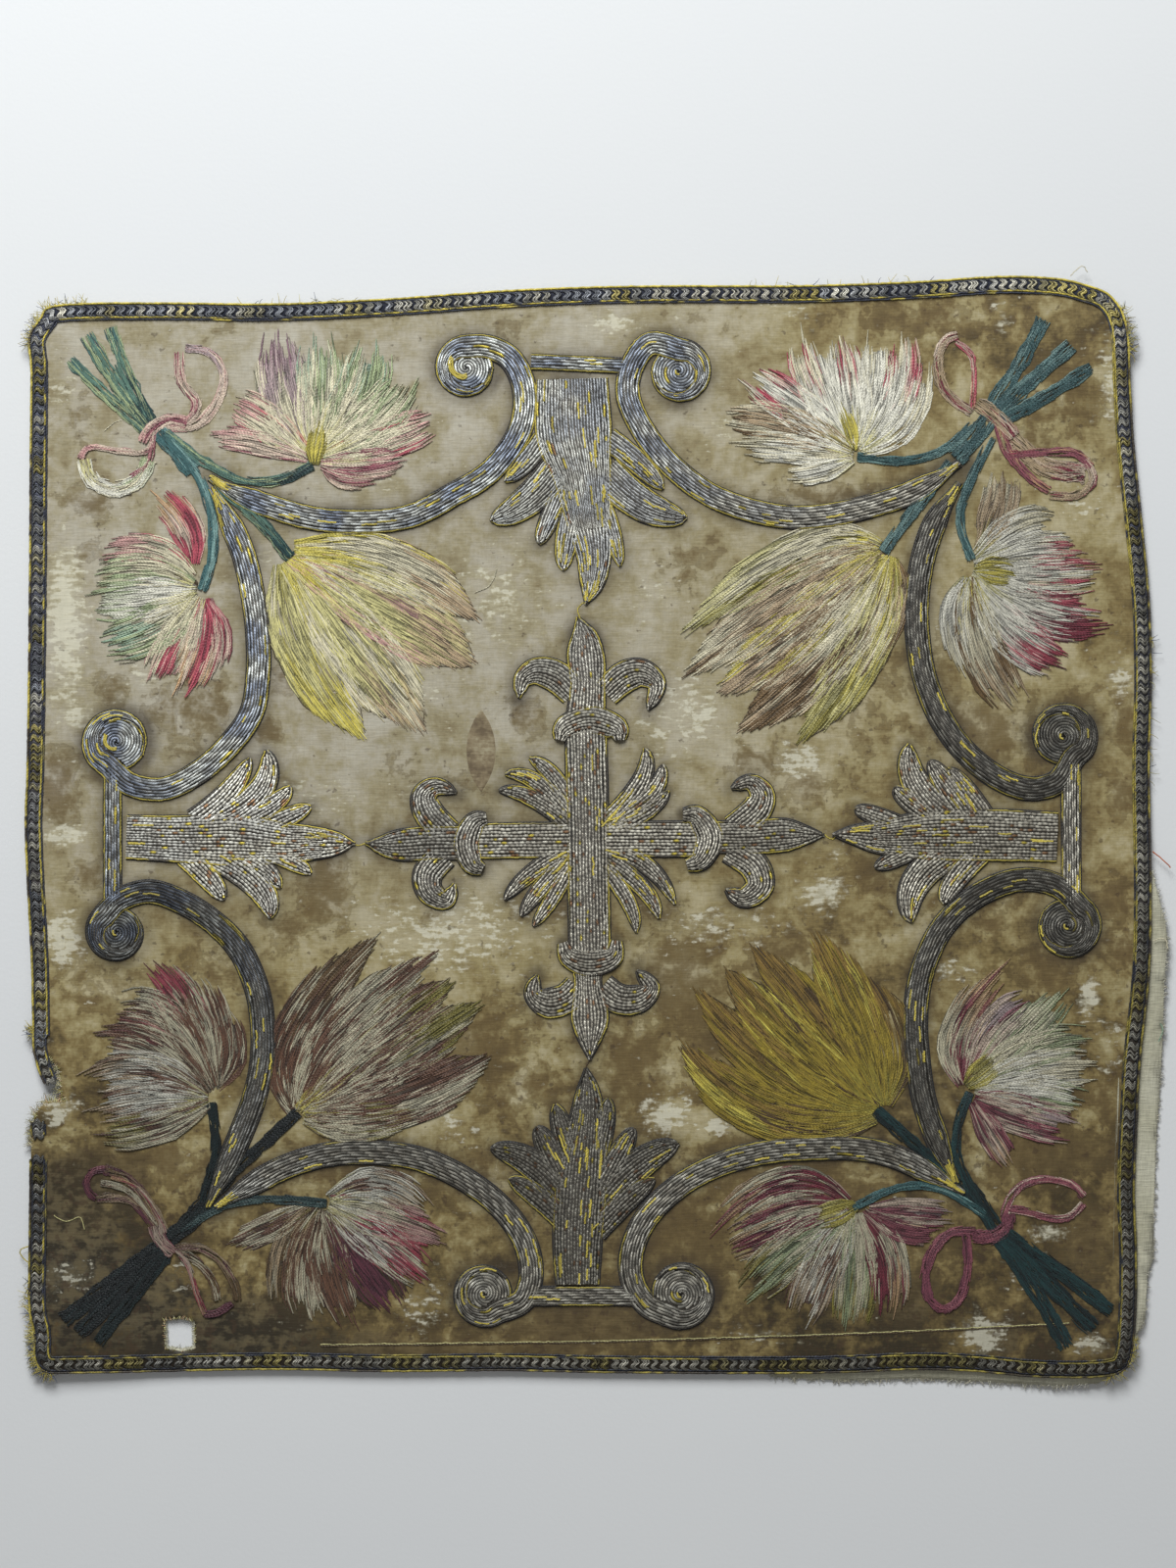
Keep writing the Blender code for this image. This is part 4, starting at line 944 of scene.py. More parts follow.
class Look:
    """A procedural material, built node by node."""

    def __init__(self, name, **values):
        self.material = bpy.data.materials.new(name)
        self.material.use_nodes = True
        self.tree = self.material.node_tree
        self.shader = self.tree.nodes["Principled BSDF"]
        for socket, value in values.items():
            self.shader.inputs[socket.replace("_", " ")].default_value = value

    def node(self, kind, inputs, output=0, **settings):
        """Adds a node, sets or links its inputs, and returns one of its outputs."""
        made = self.tree.nodes.new("ShaderNode" + kind)
        for setting, value in settings.items():
            setattr(made, setting, value)
        for socket, value in inputs.items():
            if isinstance(value, bpy.types.NodeSocket):
                self.tree.links.new(value, made.inputs[socket])
            else:
                made.inputs[socket].default_value = value
        return made.outputs[output]

    def place(self, scale=(1, 1, 1)):
        """Where a point lies, in millimetres and then scaled."""
        object_place = self.node("TexCoord", {}, "Object")
        factors = tuple(share / METRES for share in scale)
        return self.node("VectorMath", {0: object_place, 1: factors}, operation="MULTIPLY")

    def noise(self, size, detail=3.0, scale=(1, 1, 1), **more):
        """Noise from 0 to 1 whose patches are about a size in millimetres."""
        inputs = {"Vector": self.place(scale), "Scale": 1 / size, "Detail": detail, **more}
        return self.node("TexNoise", inputs)

    def step(self, value, low, high, to_low=0.0, to_high=1.0):
        """A value that goes smoothly from one end to the other as the given one passes two marks."""
        inputs = {"Value": value, "From Min": low, "From Max": high, "To Min": to_low, "To Max": to_high}
        return self.node("MapRange", inputs, interpolation_type="SMOOTHSTEP")

    def between(self, noise, low, high):
        """A value that goes from low to high as noise goes over the range that it mostly keeps to."""
        return self.step(noise, *NOISE_RANGE, low, high)

    def maths(self, operation, first, second=0.0):
        """The result of one sum, product or other operation on values."""
        return self.node("Math", {0: first, 1: second}, operation=operation)

    def mix(self, share, first, second, way="MIX"):
        """The first colour with a share of the second mixed in."""
        inputs = {0: share, 6: first, 7: second}
        return self.node("Mix", inputs, output=2, data_type="RGBA", blend_type=way)

    def times(self, colour, factor):
        """The colour made darker or lighter by a factor, or by each part of another colour."""
        return self.mix(1.0, colour, factor, "MULTIPLY")

    def weigh(self, first, *others):
        """The first value, with the others added by their weights, each from its middle of a half."""
        total = first
        for value, weight in others:
            total = self.node("Math", {0: value, 1: weight, 2: total}, operation="MULTIPLY_ADD")
            total = self.maths("SUBTRACT", total, weight / 2)
        return total

    def stops(self, value, colours):
        """A colour that goes through the given ones as the value rises."""
        made = self.tree.nodes.new("ShaderNodeValToRGB")
        self.tree.links.new(value, made.inputs[0])
        elements = made.color_ramp.elements
        for number, (place, colour) in enumerate(colours):
            element = elements[number] if number < 2 else elements.new(place)
            element.position = place
            element.color = rgb(*colour)
        return made.outputs[0]

    def attribute(self, name, output="Fac"):
        """Values that are stored at a piece's points."""
        return self.node("Attribute", {}, output, attribute_name=name)

    def finish(self, colour, roughness, height, distance):
        """Feeds the shader a colour, a roughness, and a height for its bumps in millimetres."""
        self.tree.links.new(colour, self.shader.inputs["Base Color"])
        self.tree.links.new(roughness, self.shader.inputs["Roughness"])
        bump = self.node("Bump", {"Height": height, "Distance": distance * METRES, "Strength": 1.0})
        self.tree.links.new(bump, self.shader.inputs["Normal"])
        return self.material


def patch_look():
    """The silk of a small patch or old stain with clear edges."""
    look = Look("brown silk", Sheen_Weight=0.1)
    ribs = look.noise(0.9, 3, scale=(0.12, 1, 1))
    clouds = look.noise(9, 5)
    grains = look.noise(1.7, 4)
    tone = look.weigh(clouds, (grains, 0.5), (ribs, 0.4))
    colour = look.stops(tone, (
        (0.3, (96, 80, 56)), (0.5, (124, 108, 80)), (0.62, (140, 126, 98)), (0.75, (156, 146, 118)),
    ))
    roughness = look.between(clouds, 0.6, 0.8)
    return look.finish(colour, roughness, look.weigh(ribs, (clouds, 1.0)), 0.12)


def silk_look():
    """Worn silk: beige towards the top, brown and darker towards the bottom, partly browning and partly
    painted shade, stained and threadbare.
    """
    look = Look("worn silk", Sheen_Weight=0.1, Sheen_Roughness=0.4, Specular_IOR_Level=0.3)
    clouds = look.noise(42, 5, Distortion=0.6)
    blotches = look.noise(15, 5, Distortion=0.8)
    mottle = look.noise(5, 4)
    grains = look.noise(1.7, 4)
    ribs = look.noise(0.9, 3, scale=(0.12, 1, 1))
    warps = look.noise(0.9, 2, scale=(1, 0.1, 1))
    rubs = look.noise(2.4, 4, scale=(0.35, 1, 1))
    unrest = look.weigh(0.0, (clouds, 1.1), (blotches, 1.0), (mottle, 0.6), (grains, 0.3))
    unrest = look.maths("MULTIPLY", unrest, look.step(look.attribute("shade_and_browning"), 0.38, 0.6, 0.62, 1.0))
    tone = look.maths("ADD", look.attribute("shade_and_browning"), unrest)

    # Beige to brown, yellower where it is darker; the tone is partly browning and partly painted shade
    colour = look.stops(tone, (
        (0.0, (184, 178, 162)), (0.3, (165, 156, 135)), (0.45, (148, 137, 107)), (0.62, (122, 107, 75)),
        (0.8, (90, 77, 52)), (1.0, (52, 45, 33)),
    ))
    yellowed = look.step(look.attribute("shade_and_browning"), 0.36, 0.48)
    colour = look.mix(yellowed, colour, look.times(colour, (1.0, 0.95, 0.74, 1)))

    # Brown stains with a darker line round them, and grime in the darkest corner, where the painted shade is
    # deepest
    brown = look.weigh(look.attribute("brown"), (blotches, 1.4), (mottle, 0.9), (grains, 0.3))
    brown = look.weigh(brown, (look.attribute("shade_and_browning"), 0.8))
    dark = look.step(look.attribute("shade_and_browning"), 0.62, 1.0)
    grime = look.step(look.weigh(mottle, (blotches, 1.2), (rubs, 0.8)), 0.38, 0.66)
    stain = look.mix(dark, rgb(98, 80, 48), look.mix(grime, rgb(92, 82, 60), rgb(44, 38, 27)))
    colour = look.mix(look.step(brown, 0.32, 0.82, 0, 0.74), colour, stain)
    tide = look.maths("ABSOLUTE", look.maths("SUBTRACT", brown, 0.42))
    colour = look.mix(look.step(tide, 0.0, 0.08, 0.3, 0), colour, rgb(70, 52, 32))

    # Places that are rubbed thin, and streaks along the ribs
    pale = look.weigh(look.attribute("pale"), (blotches, 1.0), (mottle, 0.9), (grains, 0.9), (rubs, 1.5))
    worn = look.step(pale, 0.36, 1.0)
    bare = look.mix(dark, rgb(200, 193, 166), rgb(134, 126, 104))
    colour = look.mix(look.maths("MULTIPLY", worn, 0.66), colour, bare)
    rubbed = look.step(look.weigh(rubs, (worn, 0.5), (clouds, -0.8), (grains, 0.3)), 0.56, 0.7)
    colour = look.mix(look.maths("MULTIPLY", rubbed, 0.4), colour, rgb(212, 207, 188))

    # Dark specks, painted shade and dirt beside the raised work, and the ribs themselves
    flecks = look.step(look.weigh(look.noise(4.2, 4), (look.attribute("shade_and_browning"), 0.15)), 0.64, 0.71)
    colour = look.mix(look.maths("MULTIPLY", flecks, 0.55), colour, rgb(66, 50, 34))
    colour = look.mix(look.maths("MULTIPLY", look.attribute("shade_and_dirt"), 0.75), colour, rgb(58, 48, 36))
    threads = look.between(ribs, 0.95, 1.04)
    threads = look.maths("ADD", threads, look.between(warps, -0.03, 0.03))
    colour = look.times(colour, threads)
    roughness = look.step(worn, 0, 1, 0.6, 0.85)
    height = look.weigh(ribs, (warps, 0.5), (mottle, 1.0), (worn, -0.5))
    return look.finish(colour, roughness, height, 0.14)


def linen_look():
    """Undyed linen in a plain weave, with slubs."""
    look = Look("undyed linen", Sheen_Weight=0.1)
    weft = look.noise(0.8, 2, scale=(0.12, 1, 1))
    warp = look.noise(0.8, 2, scale=(1, 0.12, 1))
    clouds = look.noise(30, 4)
    colour = look.mix(clouds, rgb(*COLOURS["linen"]), rgb(160, 154, 126))
    weave = look.maths("ADD", look.between(weft, 0.42, 0.56), look.between(warp, 0.42, 0.56))
    colour = look.times(colour, weave)
    return look.finish(colour, look.between(clouds, 0.8, 0.92), look.maths("ADD", weft, warp), 0.3)


def thread_look(name, twist, worn, rough, groove_shade, **values):
    """Thread in its stored tint, with painted shade in the grooves beside it and a painted highlight on its
    crest, ridged by its twist and unevenly worn.
    """
    look = Look(name, **values)
    along = look.node("SeparateXYZ", {0: look.attribute("course", "Vector")})
    across = along.node.outputs[1]
    turns = look.maths("MULTIPLY", along, 2 * math.pi / twist)
    slant = look.maths("MULTIPLY", across, 2 * math.pi)
    ridges = look.maths("SINE", look.maths("ADD", turns, slant))
    off_crest = look.maths("ABSOLUTE", look.maths("SUBTRACT", across, 0.5))
    wear = look.noise(worn, 4)
    colour = look.attribute("tint", "Color")
    # Painted shade in the grooves and a painted highlight on the crest
    colour = look.times(colour, look.step(off_crest, 0.12, 0.5, 1.12, groove_shade))
    colour = look.times(colour, look.between(wear, 0.88, 1.12))
    # Painted light and shade on the twist's ridges
    colour = look.times(colour, look.step(ridges, -1, 1, 0.88, 1.1))
    roughness = look.between(wear, rough + 0.12, rough - 0.08)
    return look.finish(colour, roughness, ridges, 0.05)


def floor_look():
    """A plain pale floor, very faintly mottled."""
    look = Look("plain floor")
    clouds = look.noise(400, 3)
    colour = look.mix(clouds, (0.66, 0.66, 0.66, 1), (0.70, 0.69, 0.67, 1))
    return look.finish(colour, look.between(clouds, 0.6, 0.7), look.noise(2, 2), 0.05)


SILK = silk_look()
LINEN = linen_look()
METAL = thread_look("tarnished metal thread", 0.7, 3, 0.42, 0.3, Metallic=0.55)
FLOSS = thread_look("silk thread", 1.6, 3, 0.55, 0.48, Sheen_Weight=0.12, Specular_IOR_Level=0.4)


def inside(x, y, loop):
    """Which points lie inside a closed loop."""
    found = np.zeros(np.shape(x), bool)
    for (ax, ay), (bx, by) in zip(loop, [*loop[1:], loop[0]]):
        if ay != by:
            crosses = ((ay > y) != (by > y)) & (x < (bx - ax) * (y - ay) / (by - ay) + ax)
            found ^= crosses
    return found


def counter_clockwise(loop):
    """The loop, turned round if it runs the other way."""
    x, y = np.array(loop).T
    turn = np.sum(x * np.roll(y, -1) - np.roll(x, -1) * y)
    return loop if turn > 0 else loop[::-1]


def filled(loops, holes, step):
    """Points and triangles that fill the loops together, without the holes, on a fine grid."""
    axis = np.arange(-GRID_REACH, GRID_REACH, step)
    x, y = np.meshgrid(axis, axis)
    x = x + (np.arange(len(axis)) % 2)[:, None] * step / 2  # every other row is shifted
    keep = np.zeros(x.shape, bool)
    for loop in loops:
        keep |= inside(x, y, loop)
    for hole in holes:
        keep &= ~inside(x, y, hole)
    places, polygons = [], []
    for loop in (*loops, *holes):
        loop = counter_clockwise([tuple(place) for place in loop])
        polygons.append(range(len(places), len(places) + len(loop)))
        places += loop
    places += zip(x[keep].tolist(), y[keep].tolist())
    found = delaunay_2d_cdt([Vector(place) for place in places], [], polygons, 0, 0.01)
    points, triangles, sources = found[0], found[2], found[5]
    # Each triangle comes with the numbers of the loops and holes that it lies in
    kept = [tuple(t) for t, source in zip(triangles, sources) if source and max(source) < len(loops)]
    return np.array([tuple(point) for point in points]), np.array(kept)


def rim(triangles):
    """The sides of triangles that no other triangle shares."""
    sides = {(a, b) for t in triangles.tolist() for a, b in ((t[0], t[1]), (t[1], t[2]), (t[2], t[0]))}
    return np.array([side for side in sides if side[::-1] not in sides])


def skirt(triangles, number):
    """Triangles from the rim down to the same points, whose numbers are that much higher."""
    a, b = rim(triangles).T
    return np.vstack([np.column_stack([b, a, a + number]), np.column_stack([b, a + number, b + number])])


def marked(x, y, marks):
    """How strongly the marks show at each point."""
    strength = np.zeros(np.shape(x))
    for mark in (Mark(*row) for row in marks):
        away = ((x - mark.x) / mark.reach_x) ** 2 + ((y - mark.y) / mark.reach_y) ** 2
        strength = np.maximum(strength, mark.strength * np.exp(-0.8 * away))
    return strength


def cloth_outline():
    """The edge that both cloths have under the braid and at the tear."""
    edge = smooth_line(BRAID_EDGE, 6.0)
    return [*map(tuple, inset(edge, CLOTH_INSET)), *TEAR]


def shrunk(loop, share):
    """The loop drawn in towards its middle."""
    loop = np.array(loop)
    middle = loop.mean(axis=0)
    return [tuple(place) for place in middle + share * (loop - middle)]


def lay_silk():
    """The silk's face with its ripples, and its cut edge turned down."""
    points, triangles = filled([cloth_outline()], [HOLE], SHEET_STEP)
    x, y = points.T
    ripple = 0.25 * patchy(x, y, 11, 1) + 0.2 * patchy(x, y, 27, 2) - 0.25
    top = np.column_stack([x, y, lift(x, y) + SILK_TOP + np.minimum(ripple, 0.1)])
    low = np.column_stack([x, y, lift(x, y) + SILK_UNDERSIDE])
    faces = np.vstack([triangles, skirt(triangles, len(points))])
    made = compact("silk_cloth", np.vstack([top, low]), faces, SILK)
    x, y = vertex_places(made)
    # Painted shade and browning together: darkest in the bottom left corner, then along the bottom, at the
    # right and at the top right
    shade_and_browning = 0.36 + 0.28 * ramp(-y, -60, 240) + 0.12 * ramp(x, -100, 260) + 0.34 * ramp(-x - y, 310, 480)
    shade_and_browning += 0.1 * ramp(-y, 200, 250) + 0.14 * ramp(y, 170, 260) * ramp(x, 60, 200)
    fill(made, "shade_and_browning", "FLOAT", shade_and_browning)
    fill(made, "shade_and_dirt", "FLOAT", shade_and_dirt_round_motifs(x, y))
    fill(made, "brown", "FLOAT", marked(x, y, BROWN_MARKS))
    fill(made, "pale", "FLOAT", marked(x, y, PALE_MARKS))
    return made


def motif_bodies():
    """The stations of every body of metal thread."""
    for scroll in SCROLLS:
        route = smooth_line(scroll.route, SHADE_AND_DIRT_STEP)
        yield np.column_stack([route, np.full(len(route), SCROLL_WIDTH / 2)])
        yield np.array([[*scroll.centre, scroll.radius]])
    bars = [bar.ends for bar in BARS]
    for body in (*bars, *CROSS_HOOKS, *CROSS_LEAVES, *CROSS_ARMS, CROSS_UPRIGHT, *CROSS_COLLARS):
        yield smooth_line(body, SHADE_AND_DIRT_STEP)
    for palmette in PALMETTES:
        yield smooth_line(palmette.body, SHADE_AND_DIRT_STEP)[4:]
        for leaf in palmette.blades:
            yield blade_stations(leaf)[::4]
    for ray in CROSS_RAYS:
        yield blade_stations(ray)[::4]


def shade_and_dirt_round_motifs(x, y):
    """How strongly painted shade and dirt darken the silk beside the motifs."""
    gap = np.full(x.shape, 99.0)
    for body in motif_bodies():
        for px, py, half_width in body:
            gap = np.minimum(gap, np.hypot(x - px, y - py) - half_width)
    uneven = 0.5 + patchy(x, y, 14, 9)
    return np.exp(-np.maximum(gap, 0) / SHADE_AND_DIRT_REACH) * uneven * 0.8


def vertex_places(piece):
    """The x and y of a piece's points."""
    flat = np.empty(len(piece.data.vertices) * 3, np.float32)
    piece.data.vertices.foreach_get("co", flat)
    return flat.reshape(-1, 3)[:, :2].T / METRES


def compact(name, places, faces, look):
    """A mesh piece of only the places that its faces use."""
    used, faces = np.unique(faces, return_inverse=True)
    return mesh_piece(name, places[used], faces.reshape(-1, 3), [look])


def lay_linen():
    """The linen, as a closed sheet."""
    loops = [cloth_outline(), LINEN_RIGHT, LINEN_BOTTOM]
    points, triangles = filled(loops, [shrunk(HOLE, LINEN_HOLE_SHARE)], LINEN_STEP)
    x, y = points.T
    top = np.column_stack([x, y, lift(x, y) + LINEN_TOP])
    low = np.column_stack([x, y, lift(x, y)])
    number = len(points)
    faces = np.vstack([triangles, triangles[:, ::-1] + number, skirt(triangles, number)])
    return compact("linen_cloth", np.vstack([top, low]), faces, LINEN)


def metal_tints(line, crossed, shine, work):
    """A row's colour at each station: dashes of silver, some of them blue, brown or gold."""
    x, y = line[:, 0], line[:, 1]
    dash = np.cumsum(crossed)
    sparkle = (draw.random(dash[-1] + 1) ** (2.4 - 1.4 * min(shine, 1)))[dash]
    odd = draw.random(dash[-1] + 1)[dash]
    # Blue is left mostly towards the top left
    region = 0.12 + 0.8 * ramp(y - 1.2 * x, -50, 250)
    blue = ramp(patchy(x, y, 10, 4) + 0.2 * (sparkle - 0.5), 0.25, 0.75) * region * work.blue
    # The metal is brighter in patches, and dash by dash with painted glints
    light = 0.5 * patchy(x, y, 7, 3) + 0.5 * patchy(x, y, 2.5, 5)
    light = light * (1 - work.sparkle) + sparkle * work.sparkle
    colour = blended(light, linear("pewter"), linear("silver"))
    colour = blended(blue * 0.8, colour, linear("blue_grey") * (0.55 + 0.85 * light[:, None]))
    colour = colour * (1 + np.outer(region * min(work.blue, 1), (-0.1, 0.0, 0.16)))
    colour = np.where((odd < 0.12 / work.longest)[:, None], linear("gilt"), colour)
    colour = np.where((odd > 1 - work.rust)[:, None], linear("rust"), colour)
    return colour * METAL_BRIGHTNESS * shine * np.where(crossed, work.stitch, 1.0)[:, None]


def couch(threads, stations, pad, shine, streaks=0.0, tucked=False, work=GRAINED):
    """Covers a body with padding, rows of metal thread and a cord round its edge.

    The stations are even rows of x, y and half width. A tucked body starts low, under its neighbour.
    """
    along = np.arange(len(stations)) * ROW_STEP
    grown = pad * (ramp(along, -6, 12) if tucked else np.ones(len(stations)))
    half_width = np.maximum(stations[:, 2] - EDGE_WIDTH, 0.2)
    # The padding is dark as painted shade in the gaps between the rows
    threads.add(stations, THREAD_LEVEL, half_width + 0.4, grown, linear("padding"), section=PAD)
    count = max(2, round(2 * half_width.max() / work.pitch))
    spacing = 2 * half_width / count
    least = LEAST_ROW_SHARE * work.pitch
    merged = spacing * 2 ** np.ceil(np.maximum(np.log2(least / spacing), 0))
    for row in range(count):
        halvings = (row & -row).bit_length() - 1 if row else 9
        there = np.flatnonzero(spacing * 2**halvings >= least)
        if len(there) < 3:
            continue
        run = slice(there[0], there[-1] + 1)
        share = (2 * row + 1) / count - 1
        wander = patchy(along, row * 50.0, 5.0, 40) - 0.5
        line = beside(stations, share * half_width + 0.5 * wander)[run]
        line = shaken(line, 0.06)
        height = THREAD_LEVEL + (grown * math.sqrt(1 - CROWN * share**2))[run] - ROW_SINK
        lay_row(threads, line, height, merged[run] * ROW_SHARE, shine, work, run.start + row * work.slant)
    for side in (1, -1):
        edge_cord(threads, beside(stations, side * (half_width + EDGE_CORD_OUT)), pad * 0.35, shine)
        dark_cord(threads, beside(stations, side * (stations[:, 2] - DARK_CORD_IN)))
    scatter_streaks(threads, stations, half_width, pad, streaks)


def lay_row(threads, line, height, half_width, shine, work, lead=0):
    """Lays one thread of metal, couched down by stitches at random, or by ones that line up on a slant.

    The lead says how far the slanting stitches are shifted along this row.
    """
    along = np.arange(len(line))
    places = np.cumsum(draw.integers(work.shortest, work.longest, len(line)))
    crossed = np.isin(along, places - draw.integers(0, work.longest))
    if work.slant:
        along = (along + lead + draw.integers(-1, 2)) % work.longest
        crossed = along == 0
    pinch = np.where(crossed, 0.85, 1.0)
    rise = ROW_HEIGHT * np.where(crossed, 0.6, 1.0)
    tints = metal_tints(line, crossed, shine, work)
    tints = tints * (1 + work.wave * np.sin(2 * math.pi * along / work.longest))[:, None]
    threads.add(line, height, half_width * pinch, rise, tints)


def dark_cord(threads, line):
    """The dirty thread that lies against the silk round a body."""
    line = even(line, 2.0)
    threads.add(line, THREAD_LEVEL - 0.2, 0.5, 0.45, linear("soot"), kind=1)


def scatter_streaks(threads, stations, half_width, pad, density):
    """Short bits of the yellow core that show through worn metal."""
    area = 2 * half_width.mean() * len(stations) * ROW_STEP
    for _ in range(draw.poisson(area * density)):
        length = draw.integers(4, 12)
        start = draw.integers(0, max(1, len(stations) - length - 2))
        share = draw.uniform(-0.85, 0.85)
        run = slice(start, start + length + 1)
        line = beside(stations, share * half_width)[run]
        if len(line) < 3:
            continue
        line = shaken(line, 0.15)
        height = THREAD_LEVEL + pad * math.sqrt(1 - CROWN * share**2) + 0.1
        tint = linear("gilt") * draw.uniform(0.6, 1.3)
        threads.add(line, height, 0.5, 0.5, tint, kind=1)


def edge_cord(threads, line, height, shine):
    """A thin cord of yellow silk and metal round an edge, worn through in places."""
    line = even(line, 1.5)
    x, y = line.T
    # More yellow shows towards the top left
    worn = patchy(x, y, 12, 6) + draw.uniform(-0.2, 0.12) + 0.25 * ramp(y - 0.5 * x, -50, 200)
    tint = blended(ramp(worn, 0.4, 0.55), linear("pewter") * 0.45, linear("gilt"))
    tint = blended(ramp(patchy(x, y, 3, 8), 0.6, 0.85) * 0.5, tint, linear("soot"))
    line = shaken(line, 0.1)
    tint = tint * (0.4 + 0.6 * shine)
    threads.add(line, THREAD_LEVEL - 0.1, CORD_RADIUS, 0.7 + height, tint, kind=1)


def blade_stations(blade, fullness=0.0):
    """Even rows of x, y and half width along a blade, which is blunt and widest near its root."""
    t = np.linspace(0, 1, 24)
    line = curve_through(blade.root, blade.middle, blade.tip)(t)
    half_width = np.maximum(0.5, (blade.half_width + fullness) * np.sqrt(1 - t**3))
    return even(np.column_stack([line, half_width]), ROW_STEP)


def rolled_up(scroll):
    """A ribbon that widens from its root and narrows as it rolls up.

    Its coil's first angle and the way it turns come with it.
    """
    before, last = np.array(scroll.route[-2:], float) - scroll.centre
    turning = math.copysign(1, before[0] * last[1] - before[1] * last[0])
    first_angle = math.atan2(last[1], last[0])
    left = np.linspace(1, 0.12, 10)  # of the ribbon's width, as it rolls up
    half_width = SCROLL_WIDTH / 2 * left
    turn = ROLL_ANGLE * (1 - left)
    radius = scroll.radius - COIL_DRIFT * turn - half_width
    roll = ring(scroll.centre, radius, first_angle + turning * turn)
    route = [(x, y, SCROLL_WIDTH / 2) for x, y in scroll.route[:-1]]
    stations = smooth_line([*route, *np.column_stack([roll, half_width])], ROW_STEP)
    reach = np.arange(len(stations)) * ROW_STEP
    stations[:, 2] *= SCROLL_ROOT_SHARE + (1 - SCROLL_ROOT_SHARE) * ramp(reach, 0, SCROLL_ROOT_LENGTH)
    return stations, first_angle, turning


def coil(threads, scroll, ribbon, first_angle, turning):
    """The spiral rows that fill the middle of a ribbon's coil."""
    def place(radius, turn):
        return ring(scroll.centre, radius, first_angle + turning * turn)

    # A dome of padding, dark as painted shade between the rows, which is swept once round the middle
    turn = np.linspace(0, 2 * math.pi, 25)
    reach = (scroll.radius - 1.6 - COIL_DRIFT * turn) / 2
    dome = [(turning * across, up) for across, up in DOME]
    threads.add(place(reach, turn), THREAD_LEVEL, reach, 0.55 * RIBBON_PAD, linear("padding"), section=dome)
    # Rows that spiral in from the rim, except where the ribbon lies over them
    for arm in range(COIL_ARMS):
        outermost = scroll.radius - EDGE_WIDTH - (arm + 0.5) * RIBBED.pitch
        turn = np.linspace(0, (outermost - 0.9) / COIL_DRIFT, 400)
        line = even(place(outermost - COIL_DRIFT * turn, turn), ROW_STEP)
        gaps = np.hypot(*(line[:, None] - ribbon[None, :, :2]).transpose(2, 0, 1)) - ribbon[:, 2]
        for part in runs(gaps.min(axis=1) > -0.3):
            row = line[part]
            half_width = np.full(len(row), RIBBED.pitch / 2)
            height = THREAD_LEVEL + COIL_RISE
            lay_row(threads, row, height, half_width, scroll.shine, RIBBED, COIL_LEAD * arm)
    # The rim's cords, from where the ribbon's own cords have run in
    turn = np.linspace(0.86 * ROLL_ANGLE, 6.5, 20)
    rim_radius = scroll.radius - COIL_DRIFT * turn
    edge_cord(threads, place(rim_radius - EDGE_WIDTH + EDGE_CORD_OUT, turn), 0.3, scroll.shine)
    dark_cord(threads, place(rim_radius - DARK_CORD_IN, turn))
    bare_core(threads, scroll)


def bare_core(threads, scroll):
    """Strands of the yellow core that show round the middle of a coil."""
    strands, inner, outer = scroll.core
    for strand in range(strands):
        radius = np.linspace(inner, outer, 12) + 0.9 * strand
        line = shaken(ring(scroll.centre, radius, np.linspace(4.8, 2.5, 12)), 0.12)
        height = THREAD_LEVEL + COIL_RISE + ROW_HEIGHT
        threads.add(line, height, 0.5, 0.4, linear("gilt"), kind=1)


def runs(wanted):
    """Slices of the stretches that are wanted and long enough to lay."""
    edges = np.flatnonzero(np.diff(np.concatenate([[False], wanted, [False]]).astype(int)))
    return [slice(a, b) for a, b in zip(edges[::2], edges[1::2]) if b - a > 3]


def work_scroll(scroll):
    """A ribbon of metal thread that ends in a coil. Its root is the most worn."""
    threads = Threads()
    ribbon, first_angle, turning = rolled_up(scroll)
    couch(threads, ribbon, RIBBON_PAD, scroll.shine, RIBBON_STREAKS, work=RIBBED)
    root = ribbon[:16]
    scatter_streaks(threads, root, root[:, 2] - EDGE_WIDTH, RIBBON_PAD, ROOT_STREAKS)
    coil(threads, scroll, ribbon, first_angle, turning)
    metal_piece(threads, scroll.name)


def metal_piece(threads, node):
    """Makes the piece of metal thread that stands for a solid."""
    declare(threads.piece(node + "_thread", [METAL, FLOSS]), node)


def work_bar(bar):
    """A short bar that reaches on to the scrolls at both its ends."""
    threads = Threads()
    ends = np.array(bar.ends, float)
    run = (ends[1] - ends[0]) / np.hypot(*(ends[1] - ends[0])[:2])
    ends += np.outer((-BAR_LAP, BAR_LAP), run)
    couch(threads, even(ends, ROW_STEP), BAR_PAD, bar.shine, RIBBON_STREAKS, work=RIBBED)
    metal_piece(threads, bar.name)


def work_palmette(palmette):
    """A leaf palmette: its blades first, and its body over their roots."""
    threads = Threads()
    shine, streaks, work = palmette.shine, palmette.streaks, palmette.work
    for blade in palmette.blades:
        stations = blade_stations(blade, BLADE_FULLNESS)
        couch(threads, stations, BLADE_PAD, shine, streaks * 0.6, tucked=True, work=work)
    couch(threads, smooth_line(palmette.body, ROW_STEP), BODY_PAD, shine, streaks, work=work)
    metal_piece(threads, palmette.name)


